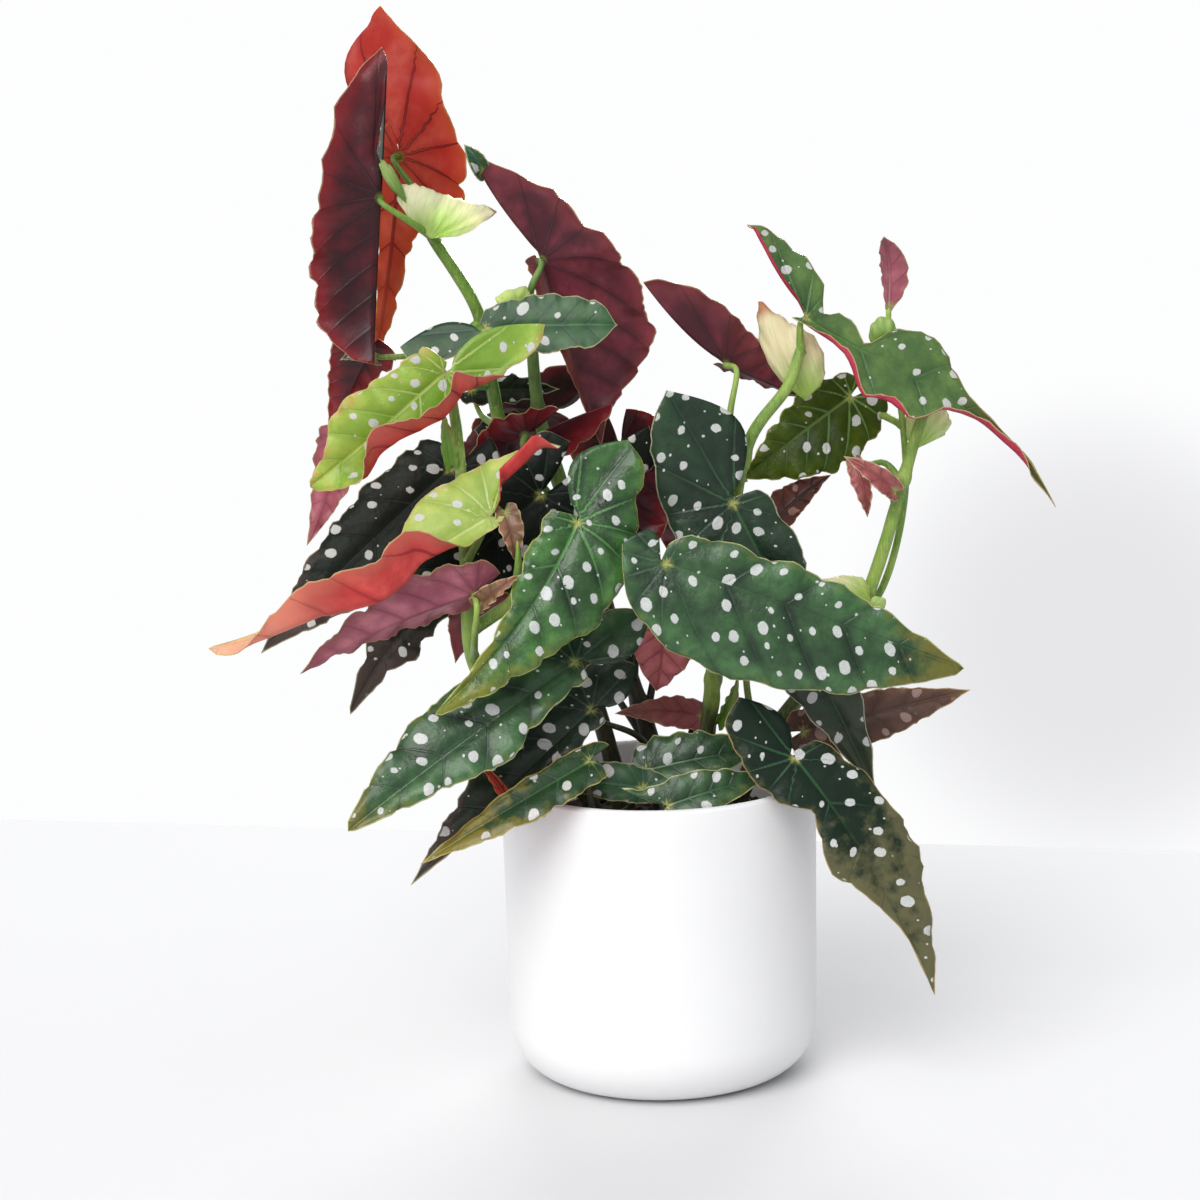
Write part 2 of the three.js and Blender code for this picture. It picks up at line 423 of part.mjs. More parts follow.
// ---------------------------------------------------------------- canes and leaf stalks
// Each cane stands in the soil with a straight foot. Its stalks start inside it and end just short
// of a blade's heart, on the underside; via lists the points between. A shoot is a side stem.
const canes = [
  { name: "cane_left_tall", radii: [4.6, 2.7], nodes: [0.12, 0.3, 0.5, 0.68, 0.84],
    foot: [-18, 12], path: [[-26, 14, 165], [-45, 16, 230], [-68, 14, 300], [-74, 10, 333],
      [-79, 8, 365], [-99, 5, 401]],
    stalks: [
      { leaf: "leaf_crown_dark", from: [-97, 5, 399], via: [[-105, -12, 407]] },
      { leaf: "leaf_crown_red", from: [-98, 5, 400], via: [[-103, 14, 416]], lead: 7 },
      { leaf: "leaf_crown_low", from: [-78, 8, 360], via: [[-104, 3, 347]], lead: 6 },
      { leaf: "leaf_left_high", from: [-75, 9, 342], via: [] },
      { leaf: "leaf_left_dark", from: [-60, 15, 277], via: [[-78, 14, 276]] },
      { leaf: "leaf_left_pink", from: [-74, 10, 331], via: [[-102, 0, 330], [-128, -8, 314]] },
      { leaf: "leaf_shadow_high", from: [-70, 13, 310], via: [[-79, 27, 314]], lead: 7 },
      { leaf: "leaf_rear_left", from: [-35, 15, 195], via: [[-48, 32, 224]] },
    ] },
  { name: "cane_left_front", radii: [4.2, 2.4], nodes: [0.2, 0.45, 0.66, 0.82],
    foot: [-30, -20], path: [[-43, -24, 152], [-65, -28, 178], [-84, -42, 208], [-86, -46, 250], [-87, -41, 290],
      [-89, -36, 318], [-91, -35, 333]],
    shoots: [{ from: [-85, -43, 224], path: [[-76, -40, 229], [-65, -45, 238], [-62, -58, 254],
      [-62, -62, 268]] }],
    stalks: [
      { leaf: "leaf_lime_high", from: [-91, -35, 331], via: [], lead: 6 },
      { leaf: "leaf_lime_low", from: [-86, -47, 256], via: [], lead: 8 },
      { leaf: "leaf_mauve", from: [-84, -45, 212], via: [[-83, -60, 222]] },
      { leaf: "leaf_front_left", from: [-79, -39, 199], via: [[-62, -42, 203]] },
      { leaf: "leaf_rim_left", from: [-31, -20, 127], via: [[-31, -48, 132]] },
      { leaf: "leaf_rim_dark", from: [-30, -20, 127], via: [[-16, -28, 133]] },
    ] },
  { name: "cane_middle", radii: [4.8, 2.6], nodes: [0.14, 0.28, 0.46, 0.64, 0.82],
    foot: [2, 18], path: [[-4, 22, 160], [-30, 26, 240], [-51, 16, 310], [-55, 10, 368]],
    stalks: [
      { leaf: "leaf_back_burgundy", from: [-55, 11, 366], via: [[-53, -1, 378]] },
      { leaf: "leaf_centre_red", from: [-38, 25, 264], via: [[-52, 8, 284]], lead: 6 },
      { leaf: "leaf_centre_black", from: [-30, 26, 240], via: [[-20, 19, 270]] },
      { leaf: "leaf_centre_bright", from: [-16, 24, 200], via: [[-25, -20, 245]] },
      { leaf: "leaf_centre_teal", from: [-25, 25, 225], via: [[-40, 0, 262]] },
      { leaf: "leaf_low_left", from: [0, 20, 140], via: [[-10, -10, 165]] },
      { leaf: "leaf_rim_front", from: [2, 18, 127], via: [[2, -20, 131]] },
      { leaf: "leaf_rim_inner", from: [1, 18, 134], via: [[-4, -8, 142]] },
      { leaf: "leaf_low_pink", from: [-5, 22, 164], via: [[0, 25, 188]], lead: 7 },
      { leaf: "leaf_low_wine", from: [0, 20, 142], via: [[14, 20, 150]], lead: 7 },
      { leaf: "leaf_shadow_low", from: [-48, 18, 297], via: [[-51, 38, 298]], lead: 9 },
      { leaf: "leaf_rear_high", from: [-35, 26, 255], via: [[-43, 30, 288]] },
      { leaf: "leaf_rear_middle", from: [-11, 22, 185], via: [[-2, 38, 235]] },
      { leaf: "leaf_rear_low", from: [-2, 20, 150], via: [[-22, 34, 180]] },
    ] },
  { name: "cane_right_inner", radii: [4.4, 2.5], nodes: [0.16, 0.36, 0.58, 0.78],
    foot: [22, 6], path: [[24, 4, 160], [34, -4, 240], [46, -14, 305], [64, -16, 330], [70, -14, 346]],
    stalks: [
      { leaf: "leaf_right_top", from: [70, -14, 344], via: [], lead: 7 },
      { leaf: "leaf_back_wine", from: [42, -10, 284], via: [[37, -6, 312]] },
      { leaf: "leaf_right_long", from: [29, 0, 205], via: [[36, -10, 250]] },
      { leaf: "leaf_right_bronze", from: [36, -6, 252], via: [[48, -8, 255]], lead: 7 },
      { leaf: "leaf_front_big", from: [24, 4, 160], via: [[28, -12, 185], [18, -34, 220]] },
    ] },
  { name: "cane_right_outer", radii: [4.4, 2.6], nodes: [0.16, 0.4, 0.62, 0.86],
    foot: [40, 12], path: [[48, 10, 150], [80, 0, 195], [99, -5, 226], [123, -5, 301], [128, -5, 316]],
    shoots: [{ from: [88, -2, 208], path: [[107, 4, 228], [119, 5, 272], [118, 2, 310],
      [111, -8, 347], [111, -10, 358]] }],
    stalks: [
      { leaf: "leaf_right_olive", from: [118, 2, 308], via: [[108, 22, 311]] },
      { leaf: "leaf_curl_pink", from: [114, -5, 273], via: [], lead: 5 },
      { leaf: "leaf_curl_salmon", from: [119, 4, 278], via: [[110, 9, 289]], lead: 5 },
      { leaf: "leaf_right_brown", from: [50, 10, 153], via: [[60, 4, 155]], lead: 8 },
      { leaf: "leaf_droop_right", from: [42, 12, 136], via: [[54, -20, 148]] },
      { leaf: "leaf_rear_right", from: [48, 10, 150], via: [[44, 28, 185]] },
    ] },
];

// A round rod through the path, with flat ends. stations are its rings' places from 0 to 1.
function rod(path, stations, sides, radiusAt) {
  const curve = new THREE.CatmullRomCurve3(path.map(vec), false, "centripetal");
  const points = [];
  const index = [];
  const normal = new THREE.Vector3(1, 0, 0);
  if (Math.abs(curve.getTangentAt(0).x) > 0.9) normal.set(0, 1, 0);
  for (const t of stations) {
    const tangent = curve.getTangentAt(t);
    normal.addScaledVector(tangent, -normal.dot(tangent)).normalize();
    const binormal = tangent.cross(normal);
    for (let k = 0; k < sides; k += 1) {
      const angle = (2 * Math.PI * k) / sides;
      const p = curve.getPointAt(t).addScaledVector(normal, radiusAt(t) * Math.cos(angle));
      points.push(p.addScaledVector(binormal, radiusAt(t) * Math.sin(angle)));
    }
  }
  const last = (stations.length - 1) * sides;
  for (let a = 0; a < last; a += 1) {
    const b = a % sides === sides - 1 ? a + 1 - sides : a + 1;
    index.push(a, b, b + sides, a, b + sides, a + sides);
  }
  for (let k = 1; k + 1 < sides; k += 1) {
    index.push(0, k + 1, k, last, last + k, last + k + 1);
  }
  return solidFrom(points, index);
}

function evenStations(count) {
  return Array.from({ length: count + 1 }, (_, i) => i / count);
}

// A cane tapers upwards and swells at each node.
function caneRadius(cane, t) {
  let radius = cane.radii[0] + (cane.radii[1] - cane.radii[0]) * t;
  for (const node of cane.nodes) {
    if (Math.abs(t - node) < nodeSpread / 2) radius += nodeSwell;
  }
  return radius;
}

function caneFoot(cane) {
  return [caneFootZ, soilTop - 12, soilTop + 1, soilTop + 8].map((z) => [...cane.foot, z]);
}

function caneSolid(cane) {
  const stations = new Set(evenStations(caneSteps));
  for (const node of cane.nodes) {
    for (const shift of [-nodeSpread, 0, nodeSpread]) stations.add(node + shift);
  }
  const sorted = [...stations].sort((a, b) => a - b);
  const main = rod([...caneFoot(cane), ...cane.path], sorted, 8, (t) => caneRadius(cane, t));
  let solid = toManifold(main);
  for (const shoot of cane.shoots ?? []) {
    const stem = rod([shoot.from, ...shoot.path], evenStations(9), 6, (t) => 2.9 - 0.6 * t);
    solid = solid.add(toManifold(stem));
  }
  for (const stalk of cane.stalks) {
    solid = solid.add(toManifold(stalkSolid(stalk)));
  }
  return toGeometry(solid);
}

function stalkSolid(stalk) {
  const leaf = { ...bladeDefaults, ...leaves.find((entry) => entry.name === stalk.leaf) };
  const frame = bladeFrame(leaf);
  const { normal } = ribAxes(leaf, frame, 0);
  const before = frame.heart.clone().addScaledVector(normal, -(stalk.lead ?? stalkLead));
  const end = frame.heart.clone().addScaledVector(normal, -(stalk.gap ?? stalkGap));
  const path = [stalk.from, ...stalk.via, before.toArray(), end.toArray()];
  const taper = (t) => stalkRadius + (stalkTipRadius - stalkRadius) * t;
  return rod(path, evenStations(stalk.steps ?? stalkSteps), 6, taper);
}

// ---------------------------------------------------------------- pot and soil
function potProfile() {
  const points = [[0, 0], [potFootRadius, 0]];
  const corner = potRadius - 1 - potFootRadius;
  for (let i = 1; i <= 6; i += 1) {
    const angle = (Math.PI / 2) * (i / 6);
    points.push([potFootRadius + corner * Math.sin(angle), potCornerRise * (1 - Math.cos(angle))]);
  }
  points.push([potRadius, potHeight - 1], [potRadius - 1, potHeight]);
  points.push([potRadius - potWall + 1, potHeight], [potRadius - potWall, potHeight - 1]);
  for (let i = 5; i >= 0; i -= 1) {
    const angle = (Math.PI / 2) * (i / 5);
    const radius = potFootRadius + (corner - potWall) * Math.sin(angle);
    points.push([radius, potFloor + (potCornerRise - potFloor) * (1 - Math.cos(angle))]);
  }
  points.push([0, potFloor]);
  return points.map(([r, z]) => new THREE.Vector2(r, z));
}

function lathe(profile, segments) {
  const geometry = new THREE.LatheGeometry(profile, segments);
  geometry.rotateX(Math.PI / 2);
  return geometry;
}

// The soil fills the pot and has a plain upright hole for each cane.
function soilSolid() {
  const inner = potRadius - potWall - soilGap;
  const bottom = potFloor + soilGap;
  const corner = inner - 1 - potFootRadius;
  const profile = [[0, bottom], [potFootRadius - soilGap, bottom]];
  for (let i = 1; i <= 5; i += 1) {
    const angle = (Math.PI / 2) * (i / 5);
    profile.push([potFootRadius - soilGap + corner * Math.sin(angle),
      bottom + (potCornerRise + 2 - bottom) * (1 - Math.cos(angle))]);
  }
  profile.push([inner - 0.6, soilTop - 4], [inner - 6, soilTop - 0.5], [0, soilTop]);
  let soil = toManifold(lathe(profile.map(([r, z]) => new THREE.Vector2(r, z)), 36));
  for (const cane of canes) {
    const hole = [caneFootZ - 2, soilTop + 10].map((z) => [...cane.foot, z]);
    const radius = cane.radii[0] + holeGap;
    soil = soil.subtract(toManifold(rod(hole, [0, 1], 12, () => radius)));
  }
  return toGeometry(soil);
}

// ---------------------------------------------------------------- assembly
const plant = new THREE.Group();

function addPiece(name, geometry, color, roughness = 0.6) {
  const material = new THREE.MeshStandardMaterial({ color, roughness, metalness: 0 });
  const piece = new THREE.Mesh(geometry, material);
  piece.name = name;
  plant.add(piece);
}

for (const entry of leaves) {
  const leaf = { ...bladeDefaults, ...entry };
  addPiece(leaf.name, thicken(bladeSurface(leaf), bladeThickness), leaf.colour);
}

for (const entry of sheaths) {
  const sheath = { ...bladeDefaults, ...sheathShape, ...entry };
  addPiece(sheath.name, thicken(bladeSurface(sheath), sheathThickness), sheathCream);
}
for (const cane of canes) addPiece(cane.name, caneSolid(cane), caneGreen);
addPiece("soil", soilSolid(), soilBrown, 0.95);
addPiece("pot", lathe(potProfile(), 44), potWhite, 0.45);

export default plant;
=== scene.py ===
# Potted polka dot begonia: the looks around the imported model. Metres, +Z up, front towards -Y.
import math
import random

import bpy
from mathutils import Matrix, Vector, noise


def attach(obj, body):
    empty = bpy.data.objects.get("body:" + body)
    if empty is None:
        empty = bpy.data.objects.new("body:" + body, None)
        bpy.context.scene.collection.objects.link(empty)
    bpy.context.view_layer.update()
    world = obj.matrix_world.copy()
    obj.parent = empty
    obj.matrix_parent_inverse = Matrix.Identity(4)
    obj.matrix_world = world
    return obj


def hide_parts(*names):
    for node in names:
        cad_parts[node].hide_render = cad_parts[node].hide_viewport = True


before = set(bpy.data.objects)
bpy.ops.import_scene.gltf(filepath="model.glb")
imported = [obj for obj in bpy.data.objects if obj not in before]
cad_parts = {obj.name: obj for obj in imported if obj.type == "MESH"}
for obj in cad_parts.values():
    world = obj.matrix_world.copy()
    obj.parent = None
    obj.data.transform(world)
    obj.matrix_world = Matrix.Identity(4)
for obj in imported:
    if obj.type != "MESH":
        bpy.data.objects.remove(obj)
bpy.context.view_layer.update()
mm = 0.001
print("frame loaded:", len(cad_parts), "nodes")


# ---- small helpers for shader nodes
def feed(tree, socket, value):
    if isinstance(value, bpy.types.NodeSocket):
        tree.links.new(value, socket)
    elif socket.type == "RGBA":
        socket.default_value = (*value[:3], 1.0)
    else:
        socket.default_value = value


def put(tree, kind, settings=None, inputs=None):
    node = tree.nodes.new(kind)
    for key, value in (settings or {}).items():
        setattr(node, key, value)
    for key, value in (inputs or {}).items():
        feed(tree, node.inputs[key], value)
    return node


def calc(tree, operation, *values):
    return put(tree, "ShaderNodeMath", {"operation": operation}, dict(enumerate(values))).outputs[0]


def times(tree, first, second):
    return calc(tree, "MULTIPLY", first, second)


def plus(tree, first, second):
    return calc(tree, "ADD", first, second)


def minus(tree, first, second):
    return calc(tree, "SUBTRACT", first, second)


def fade(tree, value, low, high, start=0.0, end=1.0):
    # smooth step of value between low and high
    entries = dict(enumerate((value, low, high, start, end)))
    return put(tree, "ShaderNodeMapRange", {"interpolation_type": "SMOOTHSTEP"}, entries).outputs[0]


def blend(tree, factor, first, second):
    return put(tree, "ShaderNodeMix", {"data_type": "RGBA"}, {0: factor, 6: first, 7: second}).outputs[2]


def cloud(tree, place, scale, detail=3.0, roughness=0.5):
    node = put(tree, "ShaderNodeTexNoise", inputs={"Vector": place, "Scale": scale, "Detail": detail,
            "Roughness": roughness})
    return node.outputs[0]


def startMaterial(name):
    material = bpy.data.materials.new(name)
    material.use_nodes = True
    return material, material.node_tree


def coat(tree, colour, roughness, height=None, depth=0.0, shine=0.5, through=0.0):
    # depth of the relief in millimetres; through is the share of light that passes a thin blade
    shader = tree.nodes["Principled BSDF"]
    feed(tree, shader.inputs["Base Color"], colour)
    feed(tree, shader.inputs["Roughness"], roughness)
    shader.inputs["Specular IOR Level"].default_value = shine
    if height is not None:
        bump = put(tree, "ShaderNodeBump", inputs={"Height": height, "Distance": depth * mm})
        tree.links.new(bump.outputs[0], shader.inputs["Normal"])
    if through:
        passing = put(tree, "ShaderNodeBsdfTranslucent", inputs={"Color": colour})
        mixed = put(tree, "ShaderNodeMixShader", inputs={"Fac": through})
        tree.links.new(shader.outputs[0], mixed.inputs[1])
        tree.links.new(passing.outputs[0], mixed.inputs[2])
        tree.links.new(mixed.outputs[0], tree.nodes["Material Output"].inputs[0])


# ---- small helpers for meshes and objects
def smoothMesh(name, points, faces):
    mesh = bpy.data.meshes.new(name)
    mesh.from_pydata([tuple(p) for p in points], [], faces)
    mesh.polygons.foreach_set("use_smooth", [True] * len(faces))
    mesh.update()
    return mesh


def circle(radius, sides):
    turns = [2 * math.pi * k / sides for k in range(sides)]
    return [(radius * math.cos(a), radius * math.sin(a)) for a in turns]


def ringFaces(rings, sides):
    # faces between rings of points; a ring of one point closes to a tip
    faces = []
    for lower, upper in zip(rings, rings[1:]):
        for k in range(sides):
            j = (k + 1) % sides
            face = [lower[k % len(lower)], lower[j % len(lower)], upper[j % len(upper)], upper[k % len(upper)]]
            faces.append([p for n, p in enumerate(face) if p != face[n - 1]])
    return faces


def addObject(name, data):
    thing = bpy.data.objects.new(name, data)
    bpy.context.scene.collection.objects.link(thing)
    return thing


def readLeaf(tree):
    # flat: millimetres along and across the blade, and the blade's own number
    # veins: which vein, how far apart they are, and how far the margin is
    flat = put(tree, "ShaderNodeAttribute", {"attribute_name": "flat"}).outputs["Vector"]
    lines = put(tree, "ShaderNodeAttribute", {"attribute_name": "veins"}).outputs["Vector"]
    place = put(tree, "ShaderNodeSeparateXYZ", inputs={0: flat})
    parts = put(tree, "ShaderNodeSeparateXYZ", inputs={0: lines})
    nearest = calc(tree, "ABSOLUTE", minus(tree, parts.outputs[0], calc(tree, "ROUND", parts.outputs[0])))
    across = calc(tree, "ABSOLUTE", place.outputs[1])
    reach = calc(tree, "SQRT", plus(tree, times(tree, place.outputs[0], place.outputs[0]),
            times(tree, across, across)))
    return {
        "flat": flat, "along": place.outputs[0], "across": across, "reach": reach,
        "fromVein": times(tree, nearest, parts.outputs[1]), "margin": parts.outputs[2],
        "ahead": fade(tree, place.outputs[0], -1.0, 1.0),
    }


def veinMask(tree, leaf, width):
    # side veins thin out towards the margin; the midrib runs from the heart to the tip
    thin = fade(tree, leaf["margin"], 1.0, 14.0, 0.45 * width, width)
    side = minus(tree, 1.0, fade(tree, leaf["fromVein"], times(tree, thin, 0.35), thin))
    middle = minus(tree, 1.0, fade(tree, leaf["across"], width * 0.5, width * 1.3))
    return calc(tree, "MAXIMUM", side, times(tree, middle, leaf["ahead"]))


# ---- leaf finishes
def spotMask(tree, leaf, cell, small, large, share, soft, grain):
    # round to oval spots, one in most cells, stretched along the side veins
    forward, outward = spotLook["veinWay"]
    parts = put(tree, "ShaderNodeSeparateXYZ", inputs={0: leaf["flat"]})
    wobble = put(tree, "ShaderNodeTexNoise", inputs={"Vector": leaf["flat"], "Scale": 0.45, "Detail": 2.0})
    moved = put(tree, "ShaderNodeVectorMath", {"operation": "MULTIPLY_ADD"},
            {0: wobble.outputs["Color"], 1: (grain, grain, 0.0), 2: leaf["flat"]}).outputs[0]
    bent = put(tree, "ShaderNodeSeparateXYZ", inputs={0: moved})
    out = calc(tree, "ABSOLUTE", bent.outputs[1])
    alongVein = plus(tree, times(tree, bent.outputs[0], forward), times(tree, out, outward))
    offVein = minus(tree, times(tree, bent.outputs[0], outward), times(tree, out, forward))
    half = times(tree, calc(tree, "SIGN", parts.outputs[1]), 17.3)
    shift = plus(tree, times(tree, parts.outputs[2], 5.71), half)
    where = put(tree, "ShaderNodeCombineXYZ", inputs={0: plus(tree, times(tree, alongVein, spotLook["oval"] / cell), shift),
            1: plus(tree, times(tree, offVein, 1.0 / cell), shift)}).outputs[0]
    cells = put(tree, "ShaderNodeTexVoronoi", {"voronoi_dimensions": "2D"},
            {"Vector": where, "Scale": 1.0, "Randomness": spotLook["random"]})
    pick = put(tree, "ShaderNodeSeparateColor", inputs={0: cells.outputs["Color"]})
    size = plus(tree, small / cell, times(tree, pick.outputs[0], (large - small) / cell))
    inside = fade(tree, minus(tree, size, cells.outputs["Distance"]), -soft / cell, soft / cell)
    # a spot whose centre lies on the midrib is left out
    centre = put(tree, "ShaderNodeSeparateXYZ", inputs={0: cells.outputs["Position"]})
    centreAlong = calc(tree, "DIVIDE", minus(tree, centre.outputs[0], shift), spotLook["oval"] / cell)
    centreOff = calc(tree, "DIVIDE", minus(tree, centre.outputs[1], shift), 1.0 / cell)
    centreOut = minus(tree, times(tree, centreAlong, outward), times(tree, centreOff, forward))
    kept = times(tree, calc(tree, "LESS_THAN", pick.outputs[1], share),
            calc(tree, "GREATER_THAN", centreOut, small + 1.0))
    return times(tree, times(tree, inside, kept), fade(tree, leaf["margin"], 0.7, 1.5))


topLooks = {
    "deep": {"dark": (0.006, 0.022, 0.01), "light": (0.076, 0.205, 0.066), "vein": (0.045, 0.13, 0.05),
        "margin": (0.5, 0.52, 0.22), "tip": (0.17, 0.16, 0.024), "tipFrom": 85, "tipTo": 150, "rough": 0.3},
    # plain is the deep green made darker as painted shade, for a leaf that lies in shadow
    "plain": {"dark": (0.004, 0.015, 0.008), "light": (0.03, 0.08, 0.032), "vein": (0.045, 0.13, 0.05),
        "margin": (0.55, 0.55, 0.38), "tip": (0.03, 0.045, 0.02), "tipFrom": 70, "tipTo": 130, "rough": 0.3},
    "teal": {"dark": (0.015, 0.052, 0.022), "light": (0.06, 0.165, 0.055), "vein": (0.04, 0.12, 0.08),
        "margin": (0.42, 0.42, 0.22), "tip": (0.06, 0.035, 0.02), "tipFrom": 60, "tipTo": 120, "rough": 0.32,
        "wrinkle": 0.15, "shine": 0.35},
    "bright": {"dark": (0.005, 0.022, 0.009), "light": (0.088, 0.255, 0.056), "vein": (0.12, 0.36, 0.08),
        "margin": (0.5, 0.54, 0.15), "tip": (0.2, 0.22, 0.02), "tipFrom": 30, "tipTo": 115, "rough": 0.24},
    "olive": {"dark": (0.026, 0.086, 0.022), "light": (0.155, 0.28, 0.068), "vein": (0.12, 0.26, 0.06),
        "margin": (0.5, 0.44, 0.16), "tip": (0.1, 0.085, 0.02), "tipFrom": 60, "tipTo": 130, "rough": 0.3},
    "sunny": {"dark": (0.021, 0.048, 0.006), "light": (0.095, 0.145, 0.008), "vein": (0.2, 0.36, 0.09),
        "margin": (0.5, 0.46, 0.16), "tip": (0.16, 0.2, 0.03), "tipFrom": 40, "tipTo": 90, "rough": 0.28,
        "shine": 0.2},
    "gold": {"dark": (0.01, 0.038, 0.014), "light": (0.03, 0.095, 0.022), "vein": (0.06, 0.16, 0.05),
        "margin": (0.5, 0.42, 0.12), "tip": (0.23, 0.2, 0.03), "tipFrom": 10, "tipTo": 90, "rough": 0.34},
    # drooped: the upper blade is made darker as painted shade; its lighter tip colour is partly the blade's
    # olive-brown and partly painted sheen
    "drooped": {"dark": (0.004, 0.015, 0.008), "light": (0.011, 0.032, 0.014), "vein": (0.04, 0.13, 0.05),
        "margin": (0.44, 0.32, 0.12), "tip": (0.135, 0.13, 0.06), "tipFrom": 12, "tipTo": 75, "rough": 0.34,
        "shine": 0.3},
    "brown": {"dark": (0.075, 0.034, 0.022), "light": (0.18, 0.085, 0.052), "vein": (0.16, 0.07, 0.05),
        "margin": (0.5, 0.34, 0.16), "tip": (0.16, 0.085, 0.04), "tipFrom": 50, "tipTo": 100, "rough": 0.38,
        "spotShare": 0.85, "spots": (0.5, 0.34, 0.29)},
    "blush": {"dark": (0.3, 0.06, 0.07), "light": (0.5, 0.15, 0.14), "vein": (0.26, 0.06, 0.06),
        "margin": (0.6, 0.4, 0.26), "tip": (0.36, 0.13, 0.1), "tipFrom": 10, "tipTo": 40, "rough": 0.36,
        "spotted": False},
    # coral is the blush pink made lighter as painted light, for a small leaf that sits in shadow
    "coral": {"dark": (0.5, 0.11, 0.13), "light": (0.84, 0.29, 0.29), "vein": (0.34, 0.06, 0.08),
        "margin": (0.6, 0.4, 0.26), "tip": (0.6, 0.2, 0.18), "tipFrom": 30, "tipTo": 60, "rough": 0.36,
        "spotted": False},
    "russet": {"dark": (0.16, 0.075, 0.035), "light": (0.36, 0.19, 0.095), "vein": (0.14, 0.06, 0.035),
        "margin": (0.55, 0.44, 0.2), "tip": (0.42, 0.17, 0.12), "tipFrom": 12, "tipTo": 30, "rough": 0.36,
        "spotted": False},
    "young": {"dark": (0.02, 0.055, 0.014), "light": (0.16, 0.26, 0.06), "vein": (0.2, 0.26, 0.07),
        "margin": (0.5, 0.36, 0.1), "tip": (0.26, 0.2, 0.05), "tipFrom": 80, "tipTo": 120, "rough": 0.34,
        "spotted": False},
    "shade": {"dark": (0.003, 0.007, 0.005), "light": (0.013, 0.019, 0.011), "vein": (0.03, 0.05, 0.03),
        "margin": (0.34, 0.3, 0.2), "tip": (0.066, 0.048, 0.04), "tipFrom": 55, "tipTo": 115, "rough": 0.36,
        "shine": 0.15, "spotShare": 0.85},
    # dusk is a darker green as painted shade, for a low leaf in shadow
    "dusk": {"dark": (0.006, 0.019, 0.01), "light": (0.02, 0.055, 0.024), "vein": (0.04, 0.1, 0.05),
        "margin": (0.4, 0.38, 0.2), "tip": (0.05, 0.034, 0.026), "tipFrom": 55, "tipTo": 95, "rough": 0.34},
    "limePale": {"dark": (0.24, 0.4, 0.04), "light": (0.58, 0.72, 0.17), "vein": (0.68, 0.78, 0.3),
        "margin": (0.62, 0.5, 0.18), "tip": (0.8, 0.42, 0.26), "tipFrom": 60, "tipTo": 110, "rough": 0.4,
        "spotSize": 0.82},
    "lime": {"dark": (0.17, 0.34, 0.02), "light": (0.4, 0.6, 0.09), "vein": (0.6, 0.72, 0.2),
        "margin": (0.62, 0.46, 0.18), "tip": (0.64, 0.13, 0.1), "tipFrom": 86, "tipTo": 112, "rough": 0.32,
        "spotSize": 0.82},
}

spotLook = {
    "colour": (0.78, 0.81, 0.78), "veinWay": (0.62, 0.78), "oval": 0.76, "random": 0.55,
    "big": {"cell": 10.6, "small": 1.1, "large": 2.6, "share": 0.9, "soft": 0.2, "grain": 1.1},
    "tiny": {"cell": 5.4, "small": 0.2, "large": 0.6, "share": 0.24, "soft": 0.15, "grain": 0.4},
}


def spotsOn(tree, leaf, size=1.0):
    big = {**spotLook["big"], "large": spotLook["big"]["large"] * size}
    return calc(tree, "MAXIMUM", spotMask(tree, leaf, **big), spotMask(tree, leaf, **spotLook["tiny"]))


heartColours = {"top": (0.40, 0.43, 0.12), "under": (0.30, 0.34, 0.08)}    # where the stalk meets the blade


